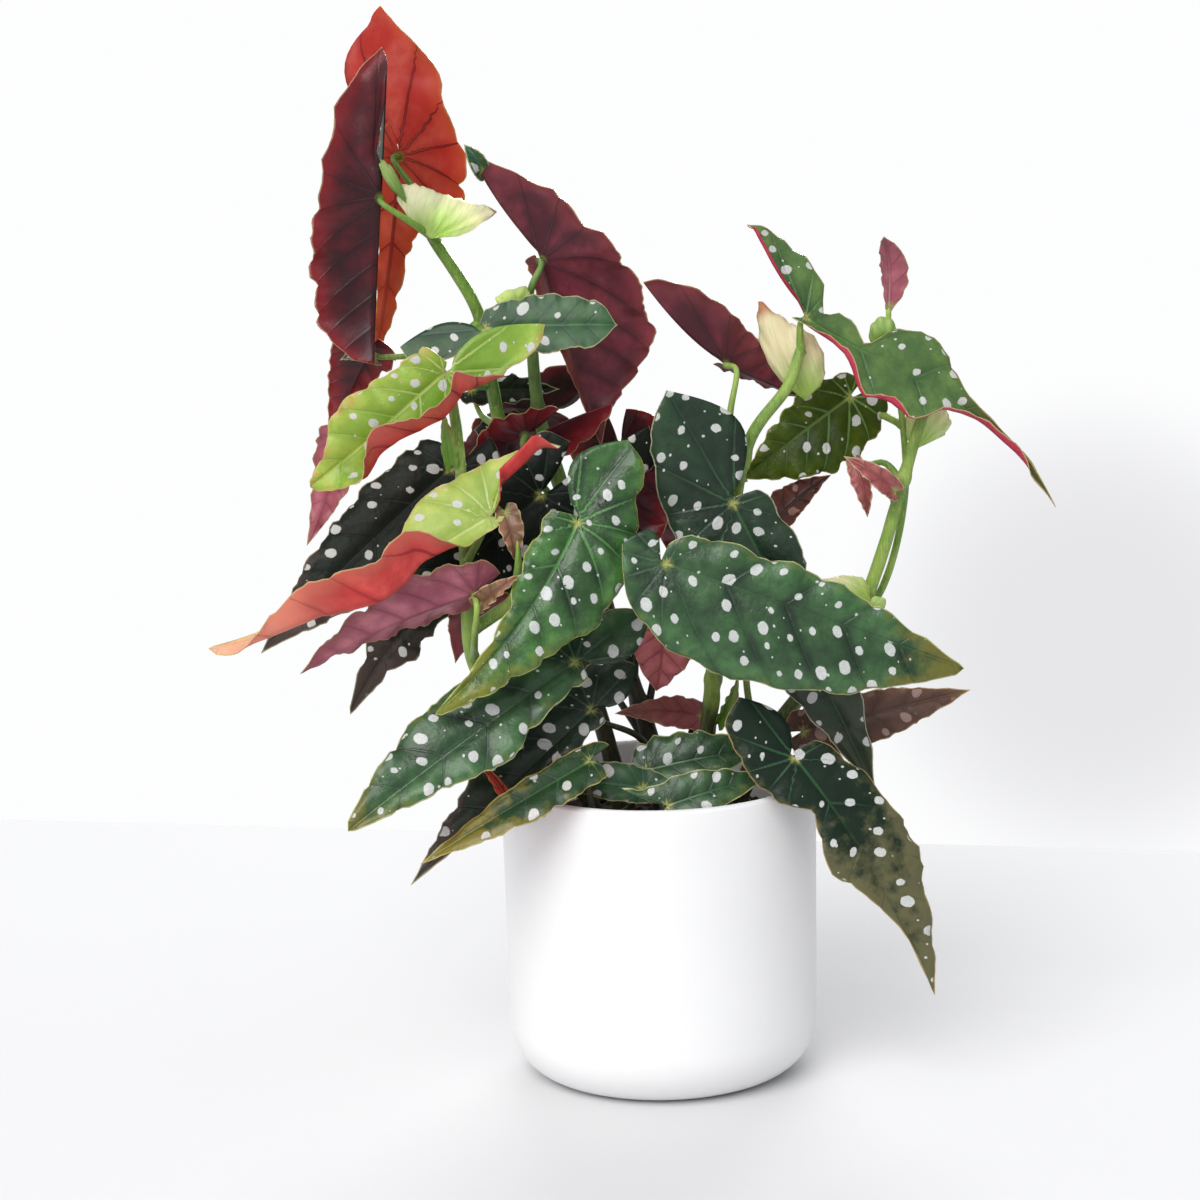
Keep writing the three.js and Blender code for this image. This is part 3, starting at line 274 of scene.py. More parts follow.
def leafTop(name, look):
    material, tree = startMaterial("leaf_top_" + name)
    leaf = readLeaf(tree)
    broad = cloud(tree, leaf["flat"], 0.045, 3.0)
    patchy = cloud(tree, leaf["flat"], 0.16, 4.0, 0.6)
    fine = cloud(tree, leaf["flat"], 0.6, 4.0, 0.6)
    # painted light and shade: besides random broad patches, the tone is lighter on the pillows between the veins and
    # towards the margin, and darker in the sunk vein grooves
    between = fade(tree, leaf["fromVein"], 0.2, 4.5)
    outer = fade(tree, leaf["margin"], 15.0, 3.0)
    tone = plus(tree, times(tree, fade(tree, broad, 0.36, 0.64), 0.4),
            plus(tree, times(tree, between, 0.3), times(tree, outer, 0.3)))
    tone = times(tree, tone, fade(tree, patchy, 0.3, 0.7, 0.55, 1.1))
    colour = blend(tree, tone, look["dark"], look["light"])
    # yellowing and browning in patches: strongest at the tip, less along the margin; in the drooped look the lighter
    # tip colour is also painted sheen on the lower blade
    ageingAndSheen = plus(tree, fade(tree, leaf["along"], look["tipFrom"], look["tipTo"], 0.0, 0.8),
            fade(tree, leaf["margin"], 9.0, 0.5, 0.0, 0.38))
    ageingAndSheen = plus(tree, ageingAndSheen, times(tree, minus(tree, patchy, 0.5), 1.6))
    colour = blend(tree, fade(tree, ageingAndSheen, 0.25, 1.0), colour, look["tip"])
    veins = veinMask(tree, leaf, 0.8)
    near = fade(tree, leaf["reach"], 46.0, 4.0, 0.10, 0.7)
    colour = blend(tree, times(tree, veins, near), colour, look["vein"])
    star = times(tree, fade(tree, leaf["reach"], 4.2, 0.6), plus(tree, 0.3, times(tree, veins, 0.7)))
    colour = blend(tree, star, colour, heartColours["top"])
    height = plus(tree, times(tree, fine, 0.22), times(tree, patchy, 1.2))
    height = minus(tree, height, times(tree, veins, 0.4))
    if look.get("spotted", True):
        spots = spotsOn(tree, leaf, look.get("spotSize", 1.0))
        white = look.get("spots", spotLook["colour"])
        mottle = cloud(tree, leaf["flat"], 2.2, 3.0, 0.7)
        spotColour = blend(tree, fade(tree, mottle, 0.35, 0.65), tuple(c * 0.72 for c in white), white)
        colour = blend(tree, times(tree, spots, look.get("spotShare", 0.95)), colour, spotColour)
        height = plus(tree, height, times(tree, spots, 0.2))
    rim = fade(tree, plus(tree, leaf["margin"], times(tree, fine, 0.5)), 1.0, 0.5)
    colour = blend(tree, rim, colour, look["margin"])
    roughness = fade(tree, fine, 0.2, 0.8, look["rough"] - 0.04, look["rough"] + 0.12)
    coat(tree, colour, roughness, height, look.get("wrinkle", 0.5), look.get("shine", 0.55), 0.2)
    return material


# edge is the colour of a painted glow near the margin, standing in for light that passes the thin rim; glow is the
# share of real translucency
underLooks = {
    # plum is the wine underside made brighter as painted light, for the two back leaves
    "plum": {"dark": (0.065, 0.011, 0.019), "light": (0.22, 0.033, 0.052), "vein": (0.03, 0.006, 0.012),
        "pale": (0.16, 0.06, 0.08), "edge": (0.27, 0.045, 0.055), "margin": (0.4, 0.25, 0.12), "rough": 0.36,
        "veins": 0.5, "glow": 0.25},
    "wine": {"dark": (0.024, 0.003, 0.006), "light": (0.12, 0.01, 0.017), "vein": (0.012, 0.002, 0.005),
        "pale": (0.12, 0.03, 0.045), "edge": (0.3, 0.016, 0.024), "margin": (0.4, 0.25, 0.12), "rough": 0.32,
        "veins": 0.5, "glow": 0.2},
    "red": {"dark": (0.8, 0.034, 0.026), "light": (0.97, 0.15, 0.12), "vein": (0.24, 0.008, 0.012),
        "pale": (0.8, 0.2, 0.16), "edge": (0.9, 0.12, 0.055), "margin": (0.55, 0.38, 0.08), "rough": 0.4,
        "glow": 0.6},
    "salmon": {"dark": (0.6, 0.03, 0.036), "light": (0.97, 0.135, 0.115), "vein": (0.3, 0.014, 0.024),
        "pale": (0.84, 0.3, 0.26), "edge": (0.7, 0.17, 0.125), "margin": (0.64, 0.46, 0.22),
        "tip": (0.92, 0.4, 0.28), "tipFrom": 70, "tipTo": 118, "rough": 0.36, "glow": 0.35},
    "crimson": {"dark": (0.36, 0.012, 0.04), "light": (0.6, 0.045, 0.1), "vein": (0.22, 0.01, 0.03),
        "pale": (0.8, 0.3, 0.3), "edge": (0.62, 0.055, 0.11), "margin": (0.64, 0.46, 0.22), "rough": 0.34,
        "glow": 0.3},
    "mauve": {"dark": (0.38, 0.085, 0.135), "light": (0.7, 0.24, 0.3), "vein": (0.11, 0.012, 0.03),
        "pale": (0.48, 0.21, 0.24), "edge": (0.36, 0.1, 0.12), "margin": (0.42, 0.3, 0.12), "rough": 0.36,
        "veins": 0.45, "glow": 0.25},
    "bronze": {"dark": (0.05, 0.016, 0.013), "light": (0.145, 0.05, 0.038), "vein": (0.035, 0.01, 0.01),
        "pale": (0.2, 0.1, 0.08), "edge": (0.19, 0.055, 0.035), "margin": (0.42, 0.26, 0.12), "rough": 0.38,
        "glow": 0.3, "spots": (0.5, 0.27, 0.23)},
}


def leafUnder(name, look):
    material, tree = startMaterial("leaf_under_" + name)
    leaf = readLeaf(tree)
    broad = cloud(tree, leaf["flat"], 0.05, 3.0)
    patchy = cloud(tree, leaf["flat"], 0.14, 4.0, 0.6)
    fine = cloud(tree, leaf["flat"], 0.7, 4.0, 0.6)
    tone = times(tree, fade(tree, broad, 0.35, 0.65, 0.15, 1.0), fade(tree, patchy, 0.3, 0.7, 0.5, 1.1))
    tone = times(tree, tone, fade(tree, leaf["fromVein"], 0.2, 4.0, 0.45, 1.0))
    colour = blend(tree, tone, look["dark"], look["light"])
    # painted glow: near the margin the colour turns to the look's edge colour, standing in for light passing through
    # the thin rim
    glow = fade(tree, plus(tree, leaf["margin"], times(tree, patchy, 10.0)), 17.0, 5.0, 0.0, 0.75)
    colour = blend(tree, glow, colour, look["edge"])
    if "tip" in look:
        colour = blend(tree, fade(tree, leaf["along"], look["tipFrom"], look["tipTo"], 0.0, 0.8), colour, look["tip"])
    veins = veinMask(tree, leaf, 1.0)
    strength = look.get("veins", 1.0)
    colour = blend(tree, times(tree, veins, fade(tree, leaf["reach"], 80.0, 15.0, 0.3 * strength, 0.85 * strength)),
            colour, look["vein"])
    crest = veinMask(tree, leaf, 0.3)
    colour = blend(tree, times(tree, crest, fade(tree, leaf["reach"], 30.0, 3.0, 0.0, 0.6)), colour, look["pale"])
    colour = blend(tree, fade(tree, leaf["reach"], 3.6, 0.8, 0.0, 0.8), colour, heartColours["under"])
    if "spots" in look:
        colour = blend(tree, times(tree, spotsOn(tree, leaf), 0.85), colour, look["spots"])
    rim = fade(tree, plus(tree, leaf["margin"], times(tree, fine, 0.5)), 0.95, 0.5)
    colour = blend(tree, rim, colour, look["margin"])
    roughness = fade(tree, fine, 0.2, 0.8, look["rough"] - 0.05, look["rough"] + 0.12)
    height = plus(tree, times(tree, veins, 0.45 * strength), times(tree, fine, 0.15))
    height = plus(tree, height, times(tree, patchy, 0.6))
    coat(tree, colour, roughness, height, 0.4, 0.42, look["glow"])
    return material


tops = {name: leafTop(name, look) for name, look in topLooks.items()}
unders = {name: leafUnder(name, look) for name, look in underLooks.items()}
print("leaf finishes ready")

# ---- blades
# heart and tip are the ends of the midrib and face is the way the top side looks, in millimetres.
# Pairs are [right side, left side] seen from the top side with the tip pointing down.
# looks are the finishes of the top side and the underside; an edge is an outline as [along, out] points.
# roll turns a margin over, as [from the margin, turn, over, unevenness, start]; hem stands a lobe's inner
# margin up, as [width, turn, over, start].
bladeDefaults = {
    "slot": "leaf_green", "looks": ("deep", "wine"),
    "wide": [10, 10], "back": [3, 3], "end": [2, 2], "over": [0, 0], "full": [1.8, 1.8],
    "edge": [None, None], "fold": [8, 8], "curl": [-9, -9], "bendShare": [[1, 1, 1, 1], [1, 1, 1, 1]],
    "arch": 5, "skew": 0, "sway": 0, "wave": 1.4, "thick": 0.55, "ruffle": 0.7,
    "teeth": 1.1, "scallop": 1.3, "pillow": 0.8, "roll": [None, None], "hem": [None, None], "slit": 0.9,
}

leafTable = [
    # crown of the tall left cane
    {"name": "leaf_crown_red", "slot": "leaf_red", "looks": ("young", "red"), "heart": [-114, 28, 437],
     "tip": [-131, 22, 334], "face": [0.4, 1, 0.05], "fold": [-8, 4], "curl": [-4, -4], "wide": [14, 36],
     "over": [0, 30], "back": [14, 68], "end": [6, 0], "full": [0, 0], "slit": 0.1, "scallop": 2.8, "teeth": 1.5,
     "hem": [None, [16, 45, 16, 14]], "edge": [None, [[-68, -18], [-60, -8], [-47, 10], [-29, 20], [-15, 29],
     [4, 36], [18, 34], [30, 20], [40, 10], [66, 7], [106, 0]]]},
    {"name": "leaf_crown_dark", "slot": "leaf_burgundy", "looks": ("bright", "wine"), "heart": [-121, -7, 420],
     "tip": [-127, -12, 344], "face": [-0.1, 1, 0.1], "fold": [6, 92], "curl": [-4, 2], "scallop": 2.4,
     "teeth": 1.4, "over": [12, 0], "slit": 0.1, "hem": [[16, -70, 15, 10], None], "pillow": 0.45,
     "edge": [[[-68, 3], [-52, 17], [-30, 25], [3, 29], [25, 32], [47, 29], [64, 23], [76, 8], [79, 0]], [[-64, 3],
     [-40, 16], [0, 24], [40, 24], [64, 16], [79, 0]]]},
    {"name": "leaf_crown_low", "slot": "leaf_burgundy", "looks": ("teal", "wine"), "heart": [-130, 8, 350],
     "tip": [-152, 18, 308], "face": [0.1, 1, 0.1], "wide": [18, 14], "back": [6, 6], "full": [1, 0]},
    {"name": "leaf_back_burgundy", "slot": "leaf_burgundy", "looks": ("teal", "plum"), "heart": [-49, 12, 388],
     "tip": [-23, 12, 300], "face": [0.05, 1, 0], "fold": [34, 4], "wide": [9, 34], "full": [1, 1], "over": [0, 4],
     "pillow": 1.2, "scallop": 2.4, "teeth": 1.3, "edge": [None, [[-57, -16], [-54, -11], [-50, -7], [-45, -1],
     [-41, 4], [-34, 9], [-29.6, 17], [-11, 26], [-1.5, 35], [17.7, 42], [40, 44], [54, 40], [65, 26], [78, 9],
     [92, 0]]]},
    {"name": "leaf_back_wine", "slot": "leaf_burgundy", "looks": ("deep", "plum"), "heart": [36, 10, 337],
     "tip": [90, 22, 312], "face": [0.0, 1, -0.1], "fold": [80, 6], "wide": [9, 21], "edge": [None, [[-53, 21],
     [-42, 27], [-25, 28], [-1, 22], [10, 17], [40, 12], [60, 0]]]},
    {"name": "leaf_right_top", "looks": ("olive", "crimson"), "heart": [72, -22, 361], "tip": [188, -12, 269],
     "face": [0.2, -1, 0.5], "sway": 9, "skew": 0.7, "roll": [None, [5.5, 150, 4, 0.6, -8]], "hem": [[4, 140, 4, 0],
     None], "edge": [[[-46, 22], [-36, 27], [-16, 27], [0, 18], [6.6, 8], [12.8, 11.5], [19, 10], [24, 7],
     [29, 3.2], [34, 8], [38, 16], [49, 22], [58, 21], [67, 18], [75, 12], [83, 7], [92, 4], [104, 3], [120, 2],
     [148, 0]], [[-6, 4], [0, 6], [14, 9], [27, 13.4], [33, 20], [39, 25], [44, 23], [50, 21.5], [57, 22],
     [65, 22.5], [70, 18], [75, 12], [84, 8], [94, 6], [111, 6], [125, 4], [148, 0]]]},
    {"name": "leaf_left_high", "looks": ("teal", "wine"), "heart": [-75, -10, 359], "tip": [-14, -19, 360],
     "face": [0.0, -1, 0.5], "over": [0, 7], "wave": 0.5, "ruffle": 0.3, "scallop": 0.6, "pillow": 0.15, "arch": 2,
     "curl": [-4, -4], "edge": [[[-3, 2], [0, 9], [12, 13], [30, 15], [45, 13], [55, 9], [61, 0]], [[-40, 8],
     [-34, 15], [-15, 14], [0, 12], [12, 13], [30, 14], [45, 12], [55, 8], [61, 0]]]},
    {"name": "leaf_lime_high", "slot": "leaf_lime", "looks": ("lime", "salmon"), "heart": [-93, -46, 343],
     "tip": [-154, -64, 295], "face": [0, -1, 0], "fold": [0, 8], "curl": [-4, -9], "over": [8, 0],
     "bendShare": [[0, 0.9, 1, 0.7], [1, 1, 1, 1]], "roll": [[19, 152, 8, 0.15, -46], None], "scallop": 1.6,
     "edge": [[[-50, 13], [-40, 19], [-26, 21], [-12, 24], [0, 28], [16, 30], [32, 26], [47, 25], [57, 27],
     [63, 22], [68, 13], [75, 6], [84, 0]], [[-4, 3], [-2, 12], [0, 15], [10, 16], [27, 18.5], [46, 20], [57, 15],
     [66, 8], [77, 3], [84, 0]]]},
    {"name": "leaf_lime_low", "slot": "leaf_lime", "looks": ("limePale", "salmon"), "heart": [-74, -60, 279],
     "tip": [-200, -90, 228], "face": [-0.2, -1, 0.3], "fold": [0, 4], "curl": [0, -14], "sway": 7, "skew": 0.5,
     "roll": [[25, 155, 8, 0.1, 8], None], "hem": [None, [10, 165, 6, 4]], "edge": [[[-6, 3], [0, 6], [14, 7],
     [26, 14], [40, 26], [60, 31], [82, 27], [100, 19], [119, 11], [133, 5], [147, 0]], [[-44, 15], [-36, 22],
     [-14, 25], [6, 27], [24, 24], [40, 14], [55, 5], [90, 3], [120, 1.5], [147, 0]]]},
    {"name": "leaf_mauve", "slot": "leaf_bronze", "looks": ("olive", "mauve"), "heart": [-82, -62, 244],
     "tip": [-161, -78, 213], "face": [0, 1, 0.5], "fold": [0, 40], "wide": [22, 14], "back": [14, 14],
     "end": [6, 4], "scallop": 1.8},
    {"name": "leaf_left_dark", "looks": ("shade", "wine"), "heart": [-94, -5, 293], "tip": [-184, -25, 212],
     "face": [-0.2, -1, 0.4], "wide": [26, 20], "back": [24, 8], "full": [1.6, 2], "teeth": 1.6, "scallop": 1.8},
    {"name": "leaf_left_pink", "slot": "leaf_bronze", "looks": ("blush", "mauve"), "heart": [-145, 4, 308],
     "tip": [-163, 6, 257], "face": [0.35, 1, 0.25], "wide": [12, 12], "full": [1.1, 1.1], "wave": 1.6,
     "back": [5, 5], "teeth": 1.5},
    {"name": "leaf_centre_red", "slot": "leaf_burgundy", "looks": ("bright", "wine"), "heart": [-58, 2, 307],
     "tip": [-87, 2, 290], "face": [0.1, 1, 0.45], "wide": [13, 19], "back": [20, 42], "end": [4, 8],
     "scallop": 0.8},
    {"name": "leaf_centre_black", "slot": "leaf_burgundy", "looks": ("shade", "wine"), "heart": [-14, 34, 298],
     "tip": [-8, 26, 232], "face": [0.1, 1, 0.1], "wide": [24, 24], "back": [16, 16], "end": [5, 5]},
    {"name": "leaf_centre_bright", "looks": ("bright", "wine"), "heart": [-35, -60, 275], "tip": [-101, -80, 193],
     "face": [0.1, -1, 0.25], "sway": 6, "over": [16, 0], "teeth": 1.3, "scallop": 1.8, "pillow": 1.9,
     "edge": [[[-44, -1], [-40, 10], [-21, 21], [0, 30], [11, 31], [30, 31], [54, 21], [81, 11], [112, 0]],
     [[-3, 1], [0, 13], [12, 14], [30, 14], [51, 8], [79, 4], [112, 0]]]},
    {"name": "leaf_centre_teal", "looks": ("shade", "bronze"), "heart": [-52, -22, 282], "tip": [-142, -44, 186],
     "face": [0.1, -1, 0.3], "sway": -7, "skew": 0.3, "teeth": 3.0, "scallop": 3.0, "edge": [[[-58, 14], [-52, 24],
     [-40, 29], [-10, 30], [20, 28], [50, 20], [70, 12], [90, 13], [105, 8], [136, 0]], [[-28, 8], [-24, 20],
     [0, 22], [30, 30], [61, 27], [90, 14], [136, 0]]]},
    {"name": "leaf_right_olive", "looks": ("sunny", "wine"), "heart": [95, 20, 319], "tip": [43, 14, 282],
     "face": [0, -1, 0.3], "wide": [21, 14], "back": [15, 9], "end": [5, 3], "full": [2.6, 2], "scallop": 1.8},
    {"name": "leaf_right_long", "looks": ("plain", "wine"), "heart": [37, -30, 277], "tip": [101, -30, 140],
     "face": [0.1, -1, 0.2], "over": [0, 22], "edge": [[[-3, 1], [-1, 13], [10, 17], [23, 19], [38, 18], [80, 17],
     [120, 10], [151, 0]], [[-61, 4], [-52, 15], [-39, 23], [-12, 30], [1, 32], [30, 31], [70, 22], [110, 12],
     [151, 0]]]},
    {"name": "leaf_front_big", "heart": [5, -70, 257], "tip": [139, -62, 204], "face": [0.1, -1, 0.25],
     "over": [0, 12], "pillow": 1.0, "edge": [[[-3, 1], [-2, 9], [9, 17], [38, 18], [76, 17], [114, 9], [135, 3],
     [149, 0]], [[-22, -2], [-18, 9], [-9, 24], [2, 31], [20, 38], [49, 40], [92, 30], [121, 16], [149, 0]]]},
    {"name": "leaf_front_left", "heart": [-38, -52, 209], "tip": [-141, -95, 144], "face": [-0.1, -1, 0.5],
     "over": [0, 12], "scallop": 1.7, "pillow": 1.1, "edge": [[[-3, 1], [0, 10], [18, 11], [34, 15], [53, 20],
     [83, 13], [110, 7], [134, 0]], [[-42, -3], [-39, 4], [-26, 13], [0, 20], [40, 24], [75, 22], [110, 11],
     [134, 0]]]},
    {"name": "leaf_low_left", "looks": ("dusk", "wine"), "heart": [-31, -30, 182], "tip": [-116, -62, 109],
     "face": [-0.2, -1, 0.3], "wide": [9, 19], "back": [3, 30], "end": [1, 1], "over": [0, 8], "full": [1.4, 1.6],
     "scallop": 1.8, "teeth": 1.6},
    {"name": "leaf_right_brown", "slot": "leaf_bronze", "looks": ("brown", "bronze"), "heart": [69, -12, 165],
     "tip": [149, -2, 181], "face": [0, -1, 0.3], "wide": [12, 14], "back": [8, 8]},
    {"name": "leaf_droop_right", "looks": ("drooped", "bronze"), "heart": [62, -57, 163], "tip": [125, -60, 49],
     "face": [0.1, -1, 0.3], "over": [0, 9], "sway": 4, "edge": [[[-3, 1], [-1, 12], [14, 19], [36, 23], [62, 24],
     [86, 16], [110, 8], [130, 0]], [[-38, 6], [-32, 17], [-11, 22], [6, 20], [14, 18], [24, 9], [38, 15], [54, 17],
     [67, 11], [94, 2], [130, 0]]]},
    {"name": "leaf_rim_left", "looks": ("gold", "red"), "heart": [-32, -56, 164], "tip": [-110, -84, 125],
     "face": [-0.2, -1, 0.8], "wide": [12, 9], "full": [2, 1.6], "back": [3, 12], "sway": 2, "roll": [None,
     [3, 120, 3, 0.5, -10]], "wave": 1, "scallop": 0.8},
    {"name": "leaf_rim_dark", "looks": ("teal", "red"), "heart": [-8, -42, 147], "tip": [-54, -32, 149],
     "face": [0, -1, 0.6], "wide": [8, 10], "back": [6, 14], "full": [2, 2], "wave": 0.6, "scallop": 0.5},
    {"name": "leaf_rim_front", "heart": [3, -60, 143], "tip": [50, -46, 152], "face": [0, -1, 0.5],
     "wide": [11, 10], "back": [18, 4], "end": [15, 2], "wave": 0.6, "scallop": 0.5},
    {"name": "leaf_rim_inner", "heart": [-6, -32, 153], "tip": [51, -26, 160], "face": [0, -1, 0.6],
     "wide": [14, 12], "back": [6, 8], "wave": 0.6, "scallop": 0.5},
    {"name": "leaf_right_bronze", "slot": "leaf_bronze", "looks": ("brown", "bronze"), "heart": [56, 4, 261],
     "tip": [85, 10, 284], "face": [0, 1, 0.3], "wide": [8, 10]},
    {"name": "leaf_young_red", "slot": "leaf_burgundy", "looks": ("blush", "mauve"), "heart": [111, -10, 364],
     "tip": [109, -12, 397], "face": [0.4, 1, 0], "wave": 0.6, "fold": [22, 38], "curl": [14, 14], "scallop": 0.6,
     "teeth": 1.6, "edge": [[[-3, 0.4], [0, 2.5], [5, 6.5], [13, 9], [24, 6.5], [33, 0]], [[-3, 0.4], [0, 2.5],
     [6, 5], [15, 7.5], [25, 6.5], [33, 0]]]},
    {"name": "leaf_curl_pink", "slot": "leaf_burgundy", "looks": ("blush", "mauve"), "heart": [113, -14, 279],
     "tip": [89, -13, 296], "face": [0, -1, 0.4], "wide": [6, 5], "wave": 0.8, "curl": [30, 30]},
    {"name": "leaf_curl_salmon", "slot": "leaf_red", "looks": ("blush", "salmon"), "heart": [96, 4, 290],
     "tip": [101, 2, 264], "face": [-0.4, -1, 0], "wide": [5, 5], "wave": 0.8, "curl": [30, 30], "sway": 3},
    {"name": "leaf_low_pink", "slot": "leaf_red", "looks": ("coral", "salmon"), "heart": [4, 4, 212],
     "tip": [0, -2, 184], "face": [0.1, -1, 0], "wide": [15, 15], "back": [10, 10], "wave": 2.2, "pillow": 1.4},
    {"name": "leaf_low_wine", "slot": "leaf_burgundy", "looks": ("blush", "wine"), "heart": [22, 18, 167],
     "tip": [-20, 12, 171], "face": [0, -1, 0.7], "wide": [9, 8], "back": [4, 4], "wave": 0.8},
    {"name": "leaf_shadow_high", "looks": ("shade", "wine"), "heart": [-84, 30, 326], "tip": [-42, 26, 326],
     "face": [0, -1, 0.5], "wide": [8, 8], "back": [6, 6], "arch": 0},
    {"name": "leaf_shadow_low", "slot": "leaf_burgundy", "looks": ("shade", "wine"), "heart": [-60, 34, 304],
     "tip": [-84, 38, 306], "face": [0, -1, 0.2], "back": [6, 6]},
    # far side, behind what the front shows
    {"name": "leaf_rear_high", "heart": [-50, 50, 311], "tip": [-108, 92, 236], "face": [-0.3, 1, 0.5],
     "wide": [26, 16], "back": [34, 4], "over": [10, 0]},
    {"name": "leaf_rear_middle", "heart": [6, 58, 272], "tip": [44, 108, 184], "face": [0.3, 1, 0.4],
     "wide": [16, 28], "back": [4, 38], "over": [0, 12]},
    {"name": "leaf_rear_left", "heart": [-60, 50, 252], "tip": [-100, 108, 178], "face": [-0.4, 1, 0.4],
     "wide": [26, 16], "back": [34, 4], "over": [10, 0]},
    {"name": "leaf_rear_right", "heart": [48, 50, 214], "tip": [88, 104, 146], "face": [0.4, 1, 0.4],
     "wide": [14, 24], "back": [4, 34], "over": [0, 10]},
    {"name": "leaf_rear_low", "heart": [-36, 54, 208], "tip": [-66, 118, 122], "face": [-0.2, 1, 0.5],
     "wide": [24, 15], "back": [32, 4], "over": [10, 0]},
]

waveCount = 6                 # waves along each margin
bendFull = 0.2                # share of the length where a margin bends as its third bendShare says
sideSigns = (1, -1)           # right side, left side
veinFan = math.radians(31)    # between the veins that spread round the heart
veinLean, veinBow = 0.78, 0.004    # how far the side veins run forward, and how much they bend


def bladeFrame(leaf):
    heart = Vector(leaf["heart"])
    along = Vector(leaf["tip"]) - heart
    length = along.length
    along.normalize()
    up = Vector(leaf["face"])
    up = (up - along * up.dot(along)).normalized()
    return {"heart": heart, "along": along, "up": up, "across": up.cross(along), "length": length}


def midrib(leaf, blade, x):
    s = x / blade["length"]
    skew = leaf["skew"]
    if s < 0:
        bow = 4 * s * (1 - skew) / (1 - 5 * s)
    else:
        bow = 4 * s * (1 - s) * (1 + skew * (2 * s - 1))
    return blade["heart"] + blade["along"] * x + blade["up"] * (leaf["arch"] * bow) \
        + blade["across"] * (leaf["sway"] * bow)


def ribAxes(leaf, blade, x):
    tangent = (midrib(leaf, blade, x + 0.5) - midrib(leaf, blade, x - 0.5)).normalized()
    normal = (blade["up"] - tangent * blade["up"].dot(tangent)).normalized()
    return normal, normal.cross(tangent)


def curveThrough(points, x):
    # smooth height over x through an outline's points
    last = len(points) - 1
    i = 0
    while i < last - 1 and x > points[i + 1][0]:
        i += 1
    (x0, y0), (x1, y1) = points[i], points[i + 1]
    before, after = points[max(i - 1, 0)], points[min(i + 2, last)]
    span = x1 - x0
    slope0 = (y1 - before[1]) / (x1 - before[0]) * span
    slope1 = (after[1] - y0) / (after[0] - x0) * span
    t = min(max((x - x0) / span, 0), 1)
    rise = t * t * (3 - 2 * t)
    return y0 + (y1 - y0) * rise + slope0 * t * (1 - t) ** 2 - slope1 * t * t * (1 - t)


def lobeReach(leaf, side):
    return -leaf["edge"][side][0][0] if leaf["edge"][side] else leaf["back"][side]


def outlineAt(leaf, blade, side, x):
    edge, wide = leaf["edge"][side], leaf["wide"][side]
    end = edge[0][1] if edge else leaf["end"][side]
    if x >= 0:
        s = min(x / blade["length"], 1)
        return 0, curveThrough(edge, x) if edge else wide * (1 - s) ** 1.12 * (1 + leaf["full"][side] * s)
    t = min(-x / lobeReach(leaf, side), 1)
    clear = lobeReach(leaf, 1 - side) + 3
    inner = end * t ** 1.5 - leaf["over"][side] * math.sin(math.pi * t) * min((x / clear) ** 2, 1)
    outer = curveThrough(edge, x) if edge else end + (wide - end) * max(1 - t * t, 0) ** 0.6
    return inner + min(-x / 2, leaf["slit"]) * (1 - t), outer


def bendAt(leaf, side, x, length):
    share = leaf["bendShare"][side]
    s = x / length
    if x < 0:
        part = share[1] + (share[0] - share[1]) * min(-2 * x / lobeReach(leaf, side), 1)
    elif s < bendFull:
        part = share[1] + (share[2] - share[1]) * s / bendFull
    else:
        part = share[2] + (share[3] - share[2]) * (s - bendFull) / (1 - bendFull)
    return math.radians(leaf["curl"][side]) / 10 * part


def veinPlace(blade, x, y):
    # which vein a point is nearest to: a fan from the heart, then rows off the midrib
    pitch = max(blade["length"] / 5.2, 9)
    behind = x - veinLean * y - veinBow * y * y
    if behind > 0 and y >= 0:
        return behind / pitch, pitch * 0.74
    turn = math.atan2(y, x - veinBow * y * y)
    if y < 0:
        turn += 2 * math.pi
    return -(turn - math.atan2(1, veinLean)) / veinFan, max(math.hypot(x, y), 0.5) * veinFan


def arcFrom(start, angle, bend, run):
    # end of an arc across the blade, and the angle there
    reach, rise = start
    if abs(bend) > 1e-6:
        turned = angle + bend * run
        return (reach + (math.sin(turned) - math.sin(angle)) / bend,
                rise + (math.cos(angle) - math.cos(turned)) / bend), turned
    return (reach + run * math.cos(angle), rise + run * math.sin(angle)), angle


